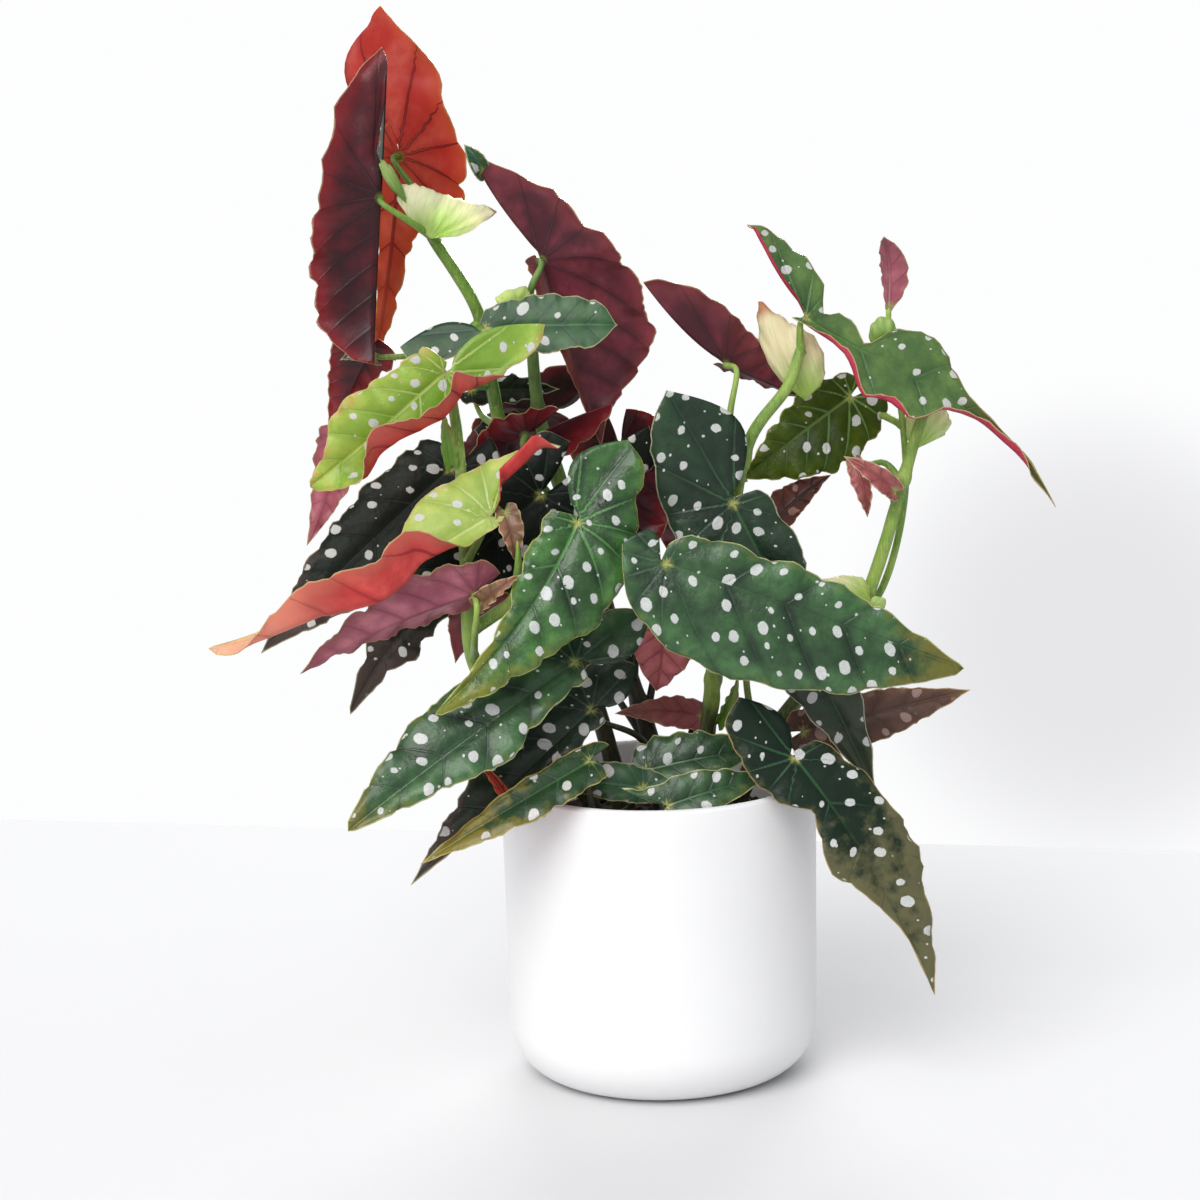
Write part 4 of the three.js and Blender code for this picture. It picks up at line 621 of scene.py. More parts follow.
def bladePoint(leaf, blade, side, x, v):
    inner, outer = outlineAt(leaf, blade, side, x)
    reachBack = lobeReach(leaf, side)
    run = (x + reachBack) / (blade["length"] + reachBack)
    waves = 2 * math.pi * waveCount * run
    beat = math.sin(waves + 2 * side)
    scallop = 1 + 0.03 * v * math.sin(waves)
    y = (inner + (outer - inner) * v) * scallop
    spare = min(outer / 12, 1) * min(1, (1 - run) * 8) * min(1, run * 12)
    number = leaf["number"] * 7.3 + side * 3.1
    tooth = noise.noise(Vector((x * 0.42, number, 0.5)))
    notch = noise.noise(Vector((x * 0.13, number, 4.5)))
    y += v ** 3 * spare * leaf["teeth"] * (0.7 * tooth + 0.9 * notch)
    vein, gap = veinPlace(blade, x, y if x < 0 else max(y, 0))
    toVein = abs(vein - round(vein)) * gap
    y -= v ** 4 * spare * leaf["scallop"] * max(0, 1 - toVein / 3.2)
    margin = max((outer - inner) * scallop * (1 - v), 0)
    fold = math.radians(leaf["fold"][side])
    bend = bendAt(leaf, side, x, blade["length"])
    roll, hem = leaf["roll"][side], leaf["hem"][side]
    free = outer - roll[0] * (1 if x > 0 else max(1 + x / 30, 0.35)) if roll else outer
    hemWide = min(hem[0], 0.85 * (outer - inner)) if hem else 0
    if y < 0:
        (reach, rise), turned = (y, 0), 0
    elif roll and y > free:
        # plain blade, then the tight turn, then straight on
        free = max(free, 0)
        slow = noise.noise(Vector((x * 0.045, number, 8.5)))
        begun = min(max((x - roll[4]) / 24, 0), 1)
        part = begun * min(max((1 - run) * 5, 0), 1) * (0.92 + roll[3] * slow)
        place, turned = arcFrom((0, 0), fold, bend, free)
        place, turned = arcFrom(place, turned, bend + math.radians(roll[1]) * part / roll[2], min(y - free, roll[2]))
        (reach, rise), turned = arcFrom(place, turned, 0, max(y - free - roll[2], 0))
    else:
        (reach, rise), turned = arcFrom((0, 0), fold, bend, y)
    if hem and x < 0 and y - inner < hemWide:
        # the lobe's inner margin stands up
        back = hemWide - (y - inner)
        curl = math.radians(hem[1]) / hem[2] * min(max(-x - hem[3], 0) / 10, 1)
        place, turned = arcFrom((0, 0), 0, curl, min(back, hem[2]))
        (lean, lift), turned = arcFrom(place, turned, 0, max(back - hem[2], 0))
        reach, rise = reach + back - lean, rise + lift
    lift = leaf["wave"] * v * v * beat * min(1, (1 - run) * 6) * min(1, run * 8)
    lift += leaf["ruffle"] * v ** 3 * spare * math.sin(2 * math.pi * run * 15 + 4 * notch + number)
    pillow = 0.5 - 0.5 * math.exp(-toVein / 2.2) + 0.5 * math.sin(math.pi * min(toVein / gap, 0.5))
    lift += leaf["pillow"] * pillow * min(1, max(y, 0) / 5) * min(1, margin / 3) * min(gap / 8, 1)
    lift -= 0.5 * math.exp(-(y / 1.6) ** 2) * min(1, max(x, 0) / 6)
    reach -= lift * math.sin(turned) * 0.6
    rise += lift * (1 + (math.cos(turned) - 1) * 0.6)
    normal, sideways = ribAxes(leaf, blade, x)
    place = midrib(leaf, blade, x) + sideways * (sideSigns[side] * reach) + normal * rise
    return place, (x, sideSigns[side] * y, leaf["number"] * 1.37), (vein, gap, margin)


def rowsOf(leaf, blade, side):
    reach = lobeReach(leaf, side)
    lobeRows = 20 if reach > 24 else 10 if reach > 9 else 4
    count = leaf.get("steps", 46 if blade["length"] > 60 else 26)
    rows = [-reach * math.cos(math.pi / 2 * i / lobeRows) for i in range(lobeRows)]
    return rows + [blade["length"] * i / count for i in range(count + 1)]


def bladeMesh(leaf, columns):
    # one sheet of quads, the right side and then the left; thinShell makes it a closed shell with the top faces
    # first, then the underside and the rim
    blade = bladeFrame(leaf)
    points, flats, lines, faces, shared = [], [], [], [], {}
    for side in (0, 1):
        rows = rowsOf(leaf, blade, side)
        grid = []
        for i, x in enumerate(rows):
            isEnd = i in (0, len(rows) - 1)
            row = []
            for j in range(columns + 1):
                share = 1 - (1 - j / columns) ** 1.25
                onMidrib = x >= 0 and (j == 0 or i == len(rows) - 1)
                key = ("mid", round(x, 4)) if onMidrib else ("end", side, i) if isEnd else (side, i, j)
                if key not in shared:
                    shared[key] = len(points)
                    v = 0 if onMidrib else 0.5 if isEnd else share
                    place, flat, line = bladePoint(leaf, blade, side, x, v)
                    points.append(place)
                    flats.append(flat)
                    lines.append((line[0], line[1], 0.0) if isEnd else line)
                row.append(shared[key])
            grid.append(row)
        for upper, lower in zip(grid, grid[1:]):
            for j in range(columns):
                quad = [upper[j], lower[j], lower[j + 1], upper[j + 1]]
                if side:
                    quad.reverse()
                quad = [k for n, k in enumerate(quad) if k != quad[n - 1]]
                if len(quad) > 2:
                    faces.append(quad)
    return points, flats, lines, faces


def thinShell(name, points, flats, lines, faces, thick):
    normals = [Vector() for _ in points]
    for face in faces:
        a, b, c = (points[k] for k in face[:3])
        n = (b - a).cross(c - a)
        if len(face) == 4:
            n = n + (c - a).cross(points[face[3]] - a)
        for k in face:
            normals[k] += n
    count = len(points)
    halves = []
    for way in (1, -1):
        for p, n, line in zip(points, normals, lines):
            taper = 0.55 + 0.45 * min(line[2] / 4, 1)
            halves.append((p + n.normalized() * (way * thick * taper / 2)) * mm)
    edges = {}
    for face in faces:
        for n, k in enumerate(face):
            edges[(face[n - 1], k)] = True
    shell = list(faces) + [[count + k for k in reversed(face)] for face in faces]
    rim = [(q, p, count + p, count + q) for p, q in edges if (q, p) not in edges]
    mesh = smoothMesh(name, halves, shell + rim)
    for label, values in (("flat", flats), ("veins", lines)):
        store = mesh.attributes.new(label, "FLOAT_VECTOR", "POINT")
        store.data.foreach_set("vector", [c for entry in values + values for c in entry])
    mesh.polygons.foreach_set("material_index", [0] * len(faces) + [1] * (len(faces) + len(rim)))
    mesh.update()
    return mesh


def addPiece(name, mesh, materials, nodes):
    piece = addObject(name, mesh)
    for material in materials:
        mesh.materials.append(material)
    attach(piece, "root")
    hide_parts(*nodes)


# small curled or spiky ends that show beside five blades
spikeShape = {"thick": 0.45, "wave": 0.4, "scallop": 0.3, "teeth": 0.4}
spikes = [
    {"name": "leaf_low_left", "piece": "spike_low_left", "looks": ("blush", "red"), "heart": [-68.3, -59, 143],
     "tip": [-84, -65.5, 167.5], "face": [0.2, 1, 0.1], "wide": [3, 5], "fold": [30, 30], "full": [1, 1]},
    {"name": "leaf_back_burgundy", "piece": "curl_back_burgundy", "looks": ("teal", "wine"),
     "heart": [-74.5, 10, 430], "tip": [-83, 8, 443], "face": [0.2, -1, 0.1], "wide": [4.5, 3.5], "back": [4, 4],
     "full": [2.4, 2.4], "curl": [30, 30]},
    {"name": "leaf_crown_dark", "piece": "curl_crown_dark", "looks": ("teal", "wine"), "heart": [-127, 0, 345],
     "tip": [-144, 2, 345], "face": [0, -1, 0.6], "wide": [3, 3], "wave": 0.5, "full": [2.4, 2.4],
     "curl": [20, 20]},
    {"name": "leaf_mauve", "piece": "curl_mauve", "looks": ("russet", "mauve"), "heart": [-80, -65, 239.5],
     "tip": [-59.5, -71, 254.5], "face": [0.25, -1, 0.5], "wide": [6, 4], "back": [3, 2], "wave": 1.6,
     "scallop": 1.2, "full": [1.3, 1.3], "curl": [26, 26]},
    {"name": "leaf_lime_low", "piece": "curl_lime_low", "looks": ("russet", "mauve"), "heart": [-67.5, -56.5, 281],
     "tip": [-63, -57, 257], "face": [0.2, -1, 0.2], "wide": [6.5, 5.5], "back": [3, 3], "wave": 1.0,
     "scallop": 0.8, "full": [1.6, 1.6], "curl": [16, 16]},
]
leaves = {}


def addBlade(leaf, piece, columns):
    mesh = thinShell(leaf.get("piece", leaf["name"]), *bladeMesh(leaf, columns), leaf["thick"])
    top, under = leaf["looks"]
    addPiece(piece, mesh, [tops[top], unders[under]], [leaf["name"]])


for number, entry in enumerate(leafTable):
    leaves[entry["name"]] = {**bladeDefaults, **entry, "number": number}
    addBlade(leaves[entry["name"]], "blade" + entry["name"][4:], 12)
for number, entry in enumerate(spikes):
    addBlade({**bladeDefaults, **spikeShape, **entry, "number": 80 + number}, entry["piece"], 6)
print("blades ready:", len(leaves) + len(spikes))

# ---- papery sheaths
sheathShape = {"fold": [30, 30], "curl": [30, 30], "full": [2.4, 2.4], "wave": 0.8, "arch": 2,
               "thick": 0.4, "steps": 20, "ruffle": 0.4}
sheathLook = {
    "cream": {"green": (0.50, 0.68, 0.20), "pale": (0.92, 0.88, 0.64), "dry": (0.42, 0.17, 0.06), "through": 0.4},
    "peach": {"green": (0.46, 0.64, 0.14), "pale": (0.92, 0.83, 0.58), "dry": (0.50, 0.17, 0.05), "through": 0.35},
    "green": {"green": (0.22, 0.42, 0.07), "pale": (0.46, 0.60, 0.20), "dry": (0.30, 0.22, 0.08), "through": 0.3},
}
# a fan stands on its foot: [angle from straight right, length] in turn, cupped towards the face
fanTable = [
  {"name": "sheath_crown", "look": "cream", "foot": [-99, -9, 401], "face": [0.15, -1, 0.25], "cup": 7,
    "spread": [[134, 14], [127, 24], [118, 28], [106, 26], [92, 23], [76, 21], [60, 21], [46, 23], [34, 26],
      [25, 31], [19, 33], [12, 22], [2, 13]]},
  {"name": "sheath_crown", "look": "green", "foot": [-109, -9, 417], "face": [0.2, -1, 0], "cup": 4,
    "spread": [[136, 9], [129, 18], [121, 25], [113, 20], [104, 8]]},
  {"name": "sheath_right_cream", "look": "peach", "foot": [71.8, -6.8, 321.6], "face": [-0.25, -1, 0.1], "cup": 9,
    "spread": [[142, 14], [133, 26], [125, 37], [118, 46], [114, 50], [108, 42], [98, 36], [84, 31], [70, 25],
      [56, 17], [40, 10]]},
  {"name": "sheath_right_green", "look": "green", "foot": [109, -8, 343], "face": [0, -1, 0], "cup": 5,
    "spread": [[150, 6], [130, 11], [112, 15], [95, 17], [78, 16], [62, 12], [42, 8], [25, 5]]},
  {"name": "sheath_right_fan", "look": "cream", "foot": [124.5, 3, 296], "face": [0, -1, 0.15], "cup": 6,
    "spread": [[132, 8], [118, 14], [102, 17], [85, 20], [68, 22], [52, 23], [38, 21], [24, 15]]},
  {"name": "sheath_right_low", "look": "peach", "foot": [101.3, -11, 225], "face": [0, -1, 0.3], "cup": 6,
    "spread": [[186, 14], [176, 26], [166, 29], [156, 27], [144, 22], [130, 18], [112, 14], [90, 9]]},
  {"name": "sheath_right_low", "look": "cream", "foot": [99.7, -9.2, 222], "face": [0, -1, 0.1], "cup": 3,
    "spread": [[80, 5], [55, 8], [30, 10], [5, 8], [-25, 4]]},
  {"name": "sheath_middle", "look": "peach", "foot": [-60, -2, 366], "face": [0, -1, 0.2], "cup": 3,
    "spread": [[170, 7], [150, 12], [128, 11], [100, 10], [70, 12], [45, 9], [20, 5]]},
]
sheathTable = [
  {"name": "sheath_low_dark", "heart": [29, -0.3, 167.5], "tip": [39, -4.3, 190.5], "face": [0.3, -1, 0],
    "wide": [4, 4]},
  {"name": "sheath_left_front", "heart": [-91.2, -41, 300.5], "tip": [-94.2, -42, 324.5], "face": [0, -1, 0.1],
    "wide": [4, 4]},
]


def sheathPaper(name, look):
    material, tree = startMaterial("papery_sheath_" + name)
    leaf = readLeaf(tree)
    streaks = put(tree, "ShaderNodeVectorMath", {"operation": "MULTIPLY"}, {0: leaf["flat"], 1: (0.12, 1.3, 1.0)})
    fibre = cloud(tree, streaks.outputs[0], 1.0, 4.0, 0.6)
    broad = cloud(tree, leaf["flat"], 0.09, 2.0)
    high = fade(tree, plus(tree, leaf["along"], times(tree, broad, 14.0)), 10.0, 34.0)
    colour = blend(tree, high, look["green"], look["pale"])
    colour = blend(tree, fade(tree, fibre, 0.35, 0.75, 0.0, 0.35), colour, tuple(c * 0.72 for c in look["green"]))
    worn = fade(tree, plus(tree, leaf["margin"], times(tree, broad, 9.0)), 4.8, 3.0)
    worn = calc(tree, "MAXIMUM", worn, fade(tree, leaf["along"], 40.0, 47.0))
    colour = blend(tree, times(tree, worn, 0.85), colour, look["dry"])
    coat(tree, colour, 0.4, fibre, 0.3, through=look["through"])
    return material


def fanMesh(fan, columns=14):
    foot = Vector(fan["foot"])
    face = Vector(fan["face"]).normalized()
    level = Vector((0, 0, 1)).cross(face).normalized()
    lift = face.cross(level)
    angles = [math.radians(entry[0]) for entry in fan["spread"]]
    wide = len(angles) * 4 - 3
    points, flats, lines = [foot], [(0.0, 0.0, len(fanTable) * 0.7)], [(0.5, 3.0, 6.0)]
    for j in range(wide):
        t = j / (wide - 1) * (len(angles) - 1)
        k = min(int(t), len(angles) - 2)
        share = t - k
        angle = angles[k] + (angles[k + 1] - angles[k]) * share
        smooth = share * share * (3 - 2 * share)
        length = fan["spread"][k][1] + (fan["spread"][k + 1][1] - fan["spread"][k][1]) * smooth
        across = j / (wide - 1) * 2 - 1
        length *= 1 + 0.05 * noise.noise(Vector((j * 0.5, length, fan["cup"])))
        for i in range(1, columns + 1):
            u = i / columns
            # bowl: bulges to the viewer in the middle and closes in at the foot and the rim
            bulge = fan["cup"] * (math.sin(math.pi * min(u * 0.8, 1)) * (1 - 0.8 * across * across) - 0.15)
            ripple = 0.5 * u * math.sin(across * 19 + fan["cup"])
            spot = foot + (level * math.cos(angle) + lift * math.sin(angle)) * (length * u) + face * (bulge + ripple)
            points.append(spot)
            flats.append((length * u, across * length * u * 0.8, fan["cup"] * 0.7))
            side = (1 - abs(across)) * length * u
            lines.append((0.5, 3.0, min(length * (1 - u), side)))
    faces = []
    for j in range(wide - 1):
        a, b = 1 + j * columns, 1 + (j + 1) * columns
        faces.append([0, b, a])
        faces += [[a + i, b + i, b + i + 1, a + i + 1] for i in range(columns - 1)]
    return points, flats, lines, faces


papers = {name: sheathPaper(name, look) for name, look in sheathLook.items()}
for number, fan in enumerate(fanTable):
    mesh = thinShell("fan_" + str(number), *fanMesh(fan), sheathShape["thick"])
    addPiece("papery_fan_" + str(number), mesh, [papers[fan["look"]]] * 2, [fan["name"]])
for number, entry in enumerate(sheathTable):
    sheath = {**bladeDefaults, **sheathShape, **entry, "number": 60 + number}
    mesh = thinShell(sheath["name"], *bladeMesh(sheath, 7), sheath["thick"])
    addPiece("papery_" + sheath["name"], mesh, [papers["green"]] * 2, [sheath["name"]])
print("sheaths ready:", len(fanTable) + len(sheathTable))

# ---- canes and leaf stalks
caneSizes = {"spacing": 2.2, "footZ": 95, "soilTop": 122, "stalkBase": 2.1, "stalkTip": 1.35, "lead": 10, "gap": 0.25,
             "nodeSwell": 0.95, "nodeLength": 3.2}
caneTable = [
  {"name": "cane_left_tall", "look": "green", "radii": [4.6, 2.7], "nodes": [0.12, 0.3, 0.5, 0.68, 0.84],
    "foot": [-18, 12], "path": [[-26, 14, 165], [-45, 16, 230], [-68, 14, 300], [-74, 10, 333],
      [-79, 8, 365], [-99, 5, 401]],
    "stalks": [
      {"leaf": "leaf_crown_dark", "from": [-97, 5, 399], "via": [[-105, -12, 407]]},
      {"leaf": "leaf_crown_red", "from": [-98, 5, 400], "via": [[-103, 14, 416]], "lead": 7},
      {"leaf": "leaf_crown_low", "from": [-78, 8, 360], "via": [[-104, 3, 347]], "lead": 6},
      {"leaf": "leaf_left_high", "from": [-75, 9, 342], "via": []},
      {"leaf": "leaf_left_dark", "from": [-60, 15, 277], "via": [[-78, 14, 276]]},
      {"leaf": "leaf_left_pink", "from": [-74, 10, 331], "via": [[-102, 0, 330], [-128, -8, 314]]},
      {"leaf": "leaf_shadow_high", "from": [-70, 13, 310], "via": [[-79, 27, 314]], "lead": 7},
      {"leaf": "leaf_rear_left", "from": [-35, 15, 195], "via": [[-48, 32, 224]]},
    ]},
  {"name": "cane_left_front", "look": "pale", "radii": [4.2, 2.4], "nodes": [0.2, 0.45, 0.66, 0.82],
    "foot": [-30, -20], "path": [[-43, -24, 152], [-65, -28, 178], [-84, -42, 208], [-86, -46, 250], [-87, -41, 290],
      [-89, -36, 318], [-91, -35, 333]],
    "shoots": [{"thick": 3.2, "taper": 0.85, "from": [-85, -43, 224],
      "path": [[-76, -40, 229], [-65, -45, 238], [-62, -58, 254], [-62, -62, 268]]}],
    "stalks": [
      {"leaf": "leaf_lime_high", "from": [-91, -35, 331], "via": [], "lead": 6},
      {"leaf": "leaf_lime_low", "from": [-86, -47, 256], "via": [], "lead": 8},
      {"leaf": "leaf_mauve", "from": [-84, -45, 212], "via": [[-83, -60, 222]]},
      {"leaf": "leaf_front_left", "from": [-79, -39, 199], "via": [[-62, -42, 203]]},
      {"leaf": "leaf_rim_left", "from": [-31, -20, 127], "via": [[-31, -48, 132]]},
      {"leaf": "leaf_rim_dark", "from": [-30, -20, 127], "via": [[-16, -28, 133]]},
    ]},
  {"name": "cane_middle", "look": "dark", "radii": [4.8, 2.6], "nodes": [0.14, 0.28, 0.46, 0.64, 0.82],
    "foot": [2, 18], "path": [[-4, 22, 160], [-30, 26, 240], [-51, 16, 310], [-55, 10, 368]],
    "stalks": [
      {"leaf": "leaf_back_burgundy", "from": [-55, 11, 366], "via": [[-53, -1, 378]]},
      {"leaf": "leaf_centre_red", "from": [-38, 25, 264], "via": [[-52, 8, 284]], "lead": 6},
      {"leaf": "leaf_centre_black", "from": [-30, 26, 240], "via": [[-20, 19, 270]]},
      {"leaf": "leaf_centre_bright", "from": [-16, 24, 200], "via": [[-25, -20, 245]]},
      {"leaf": "leaf_centre_teal", "from": [-25, 25, 225], "via": [[-40, 0, 262]]},
      {"leaf": "leaf_low_left", "from": [0, 20, 140], "via": [[-10, -10, 165]]},
      {"leaf": "leaf_rim_front", "from": [2, 18, 127], "via": [[2, -20, 131]]},
      {"leaf": "leaf_rim_inner", "from": [1, 18, 134], "via": [[-4, -8, 142]]},
      {"leaf": "leaf_low_pink", "from": [-5, 22, 164], "via": [[0, 25, 188]], "lead": 7},
      {"leaf": "leaf_low_wine", "from": [0, 20, 142], "via": [[14, 20, 150]], "lead": 7},
      {"leaf": "leaf_shadow_low", "from": [-48, 18, 297], "via": [[-51, 38, 298]], "lead": 9},
      {"leaf": "leaf_rear_high", "from": [-35, 26, 255], "via": [[-43, 30, 288]]},
      {"leaf": "leaf_rear_middle", "from": [-11, 22, 185], "via": [[-2, 38, 235]]},
      {"leaf": "leaf_rear_low", "from": [-2, 20, 150], "via": [[-22, 34, 180]]},
    ]},
  {"name": "cane_right_inner", "look": "pale", "radii": [4.4, 2.5], "nodes": [0.16, 0.36, 0.58, 0.78],
    "foot": [22, 6], "path": [[24, 4, 160], [34, -4, 240], [46, -14, 305], [64, -16, 330], [70, -14, 346]],
    "stalks": [
      {"leaf": "leaf_right_top", "from": [70, -14, 344], "via": [], "lead": 7},
      {"leaf": "leaf_back_wine", "from": [42, -10, 284], "via": [[37, -6, 312]]},
      {"leaf": "leaf_right_long", "from": [29, 0, 205], "via": [[36, -10, 250]]},
      {"leaf": "leaf_right_bronze", "from": [36, -6, 252], "via": [[48, -8, 255]], "lead": 7},
      {"leaf": "leaf_front_big", "from": [24, 4, 160], "via": [[28, -12, 185], [18, -34, 220]]},
    ]},
  {"name": "cane_right_outer", "look": "pale", "radii": [4.4, 2.6], "nodes": [0.16, 0.4, 0.62, 0.86],
    "foot": [40, 12], "path": [[48, 10, 150], [80, 0, 195], [99, -5, 226], [123, -5, 301], [128, -5, 316]],
    "shoots": [{"thick": 1.9, "taper": 0, "from": [88, -2, 208],
      "path": [[107, 4, 228], [119, 5, 272], [118, 2, 310], [111, -8, 347], [111, -10, 363]]}],
    "stalks": [
      {"leaf": "leaf_right_olive", "from": [118, 2, 308], "via": [[108, 22, 311]]},
      {"leaf": "leaf_curl_pink", "from": [114, -5, 273], "via": [], "lead": 5},
      {"leaf": "leaf_curl_salmon", "from": [119, 4, 278], "via": [[110, 9, 289]], "lead": 5},
      {"leaf": "leaf_right_brown", "from": [50, 10, 153], "via": [[60, 4, 155]], "lead": 8},
      {"leaf": "leaf_droop_right", "from": [42, 12, 136], "via": [[54, -20, 148]]},
      {"leaf": "leaf_rear_right", "from": [48, 10, 150], "via": [[44, 28, 185]]},
    ]},
]


def smoothPath(points, spacing):
    # centripetal curve through the points, as evenly spaced places in millimetres
    pts = [Vector(p) for p in points]
    if len(pts) < 3:
        pts = [pts[0], (pts[0] + pts[-1]) / 2, pts[-1]]
    pts = [pts[0] * 2 - pts[1]] + pts + [pts[-1] * 2 - pts[-2]]
    dense = []
    for p0, p1, p2, p3 in zip(pts, pts[1:], pts[2:], pts[3:]):
        t0 = 0
        t1 = t0 + (p1 - p0).length ** 0.5
        t2 = t1 + (p2 - p1).length ** 0.5
        t3 = t2 + (p3 - p2).length ** 0.5
        for i in range(16):
            t = t1 + (t2 - t1) * i / 16
            a1 = p0 * ((t1 - t) / (t1 - t0)) + p1 * ((t - t0) / (t1 - t0))
            a2 = p1 * ((t2 - t) / (t2 - t1)) + p2 * ((t - t1) / (t2 - t1))
            a3 = p2 * ((t3 - t) / (t3 - t2)) + p3 * ((t - t2) / (t3 - t2))
            b1 = a1 * ((t2 - t) / (t2 - t0)) + a2 * ((t - t0) / (t2 - t0))
            b2 = a2 * ((t3 - t) / (t3 - t1)) + a3 * ((t - t1) / (t3 - t1))
            dense.append(b1 * ((t2 - t) / (t2 - t1)) + b2 * ((t - t1) / (t2 - t1)))
    dense.append(pts[-2])
    lengths = [0]
    for a, b in zip(dense, dense[1:]):
        lengths.append(lengths[-1] + (b - a).length)
    count = max(int(lengths[-1] / spacing), 4)
    out, k = [], 0
    for i in range(count + 1):
        goal = lengths[-1] * i / count
        while k < len(lengths) - 2 and lengths[k + 1] < goal:
            k += 1
        part = (goal - lengths[k]) / max(lengths[k + 1] - lengths[k], 1e-6)
        out.append(dense[k].lerp(dense[k + 1], min(part, 1)))
    return out


def tube(mesh, path, sides, radiusAt, seed):
    # round tube closed by a flat cap at each end; radiusAt takes 0 to 1 along it
    normal = Vector((1, 0, 0))
    rings = []
    last = len(path) - 1
    for i, centre in enumerate(path):
        tangent = (path[min(i + 1, last)] - path[max(i - 1, 0)]).normalized()
        if i == 0 and abs(tangent.x) > 0.9:
            normal = Vector((0, 1, 0))
        normal = (normal - tangent * normal.dot(tangent)).normalized()
        side = tangent.cross(normal)
        ring = []
        for k in range(sides):
            angle = 2 * math.pi * k / sides
            rough = noise.noise(Vector((math.cos(angle) * 0.8 + seed, math.sin(angle) * 0.8, i * 0.25)))
            radius = radiusAt(i / last) * (1 + 0.05 * rough)
            ring.append(len(mesh["points"]))
            mesh["points"].append(centre + (normal * math.cos(angle) + side * math.sin(angle)) * radius)
        rings.append(ring)
    for upper, lower in zip(rings, rings[1:]):
        for k in range(sides):
            j = (k + 1) % sides
            mesh["faces"].append((upper[k], upper[j], lower[j], lower[k]))
    mesh["faces"].append(tuple(reversed(rings[0])))
    mesh["faces"].append(tuple(rings[-1]))


def caneRadius(cane, t, length):
    radius = cane["radii"][0] + (cane["radii"][1] - cane["radii"][0]) * t
    for node in cane["nodes"]:
        radius += caneSizes["nodeSwell"] * math.exp(-(((t - node) * length) / caneSizes["nodeLength"]) ** 2)
    return radius


def stalkPath(stalk):
    leaf = leaves[stalk["leaf"]]
    blade = bladeFrame(leaf)
    normal = ribAxes(leaf, blade, 0)[0]
    before = blade["heart"] - normal * stalk.get("lead", caneSizes["lead"])
    end = blade["heart"] - normal * caneSizes["gap"]
    return smoothPath([stalk["from"], *stalk["via"], before, end], 2.0)


def stalkRadius(t):
    # flared where it leaves the cane and where it meets the blade
    base, tip = caneSizes["stalkBase"], caneSizes["stalkTip"]
    plain = base + (tip - base) * min(t * 1.4, 1)
    return plain + 0.7 * math.exp(-(t / 0.06) ** 2) + 0.3 * math.exp(-((1 - t) / 0.05) ** 2)


def caneMesh(cane, seed):
    mesh = {"points": [], "faces": []}
    foot = [[*cane["foot"], z] for z in (caneSizes["footZ"], 110, caneSizes["soilTop"] + 1, caneSizes["soilTop"] + 8)]
    spacing = caneSizes["spacing"]
    path = smoothPath(foot + cane["path"], spacing)
    length = len(path) * spacing
    tube(mesh, path, 18, lambda t: caneRadius(cane, t, length), seed)
    for shoot in cane.get("shoots", []):
        stem = smoothPath([shoot["from"]] + shoot["path"], spacing)
        thick, taper = shoot["thick"], shoot["taper"]
        tube(mesh, stem, 14, lambda t: (thick - 0.6 * t) * (1 - taper * t ** 5) + 0.6 * math.exp(-(t / 0.04) ** 2),
             seed + 2)
    for n, stalk in enumerate(cane["stalks"]):
        tube(mesh, stalkPath(stalk), 12, stalkRadius, seed + n)
    return smoothMesh(cane["name"], [p * mm for p in mesh["points"]], mesh["faces"])


caneLooks = {
    "green": {"shade": (0.060, 0.15, 0.018), "light": (0.16, 0.31, 0.038), "streak": (0.36, 0.46, 0.12),
              "low": (0.030, 0.022, 0.016), "lowFrom": 0.165, "lowTo": 0.235},
    "pale": {"shade": (0.11, 0.23, 0.028), "light": (0.27, 0.40, 0.070), "streak": (0.46, 0.56, 0.20),
             "low": (0.040, 0.030, 0.018), "lowFrom": 0.150, "lowTo": 0.200},
    "dark": {"shade": (0.060, 0.130, 0.025), "light": (0.14, 0.27, 0.050), "streak": (0.28, 0.34, 0.14),
             "low": (0.020, 0.013, 0.011), "lowFrom": 0.225, "lowTo": 0.290},
}


def caneSkin(name, look):
    material, tree = startMaterial("cane_skin_" + name)
    place = put(tree, "ShaderNodeTexCoord").outputs["Object"]
    height = put(tree, "ShaderNodeSeparateXYZ", inputs={0: place}).outputs[2]
    streaks = put(tree, "ShaderNodeVectorMath", {"operation": "MULTIPLY"}, {0: place, 1: (1400.0, 1400.0, 120.0)})
    fibre = cloud(tree, streaks.outputs[0], 1.0, 3.0, 0.6)
    broad = cloud(tree, place, 55.0, 3.0)
    colour = blend(tree, fade(tree, broad, 0.35, 0.65), look["shade"], look["light"])
    low = fade(tree, plus(tree, height, times(tree, minus(tree, broad, 0.5), 0.06)), look["lowTo"], look["lowFrom"])
    colour = blend(tree, times(tree, low, 0.94), colour, look["low"])
    upper = minus(tree, 1.0, times(tree, low, 0.8))
    colour = blend(tree, times(tree, fade(tree, fibre, 0.4, 0.8, 0.0, 0.5), upper), colour, look["streak"])
    specks = put(tree, "ShaderNodeTexVoronoi", inputs={"Vector": place, "Scale": 420.0})
    speck = times(tree, fade(tree, specks.outputs["Distance"], 0.20, 0.12, 0.0, 0.4), upper)
    colour = blend(tree, speck, colour, look["streak"])
    coat(tree, colour, fade(tree, fibre, 0.2, 0.8, 0.30, 0.46), fibre, 0.25, 0.4)
    return material


caneSkins = {name: caneSkin(name, look) for name, look in caneLooks.items()}
for number, cane in enumerate(caneTable):
    skin = caneSkins[cane["look"]]
    addPiece("stems_" + cane["name"], caneMesh(cane, 11 * number), [skin], [cane["name"]])
print("canes ready:", len(caneTable))

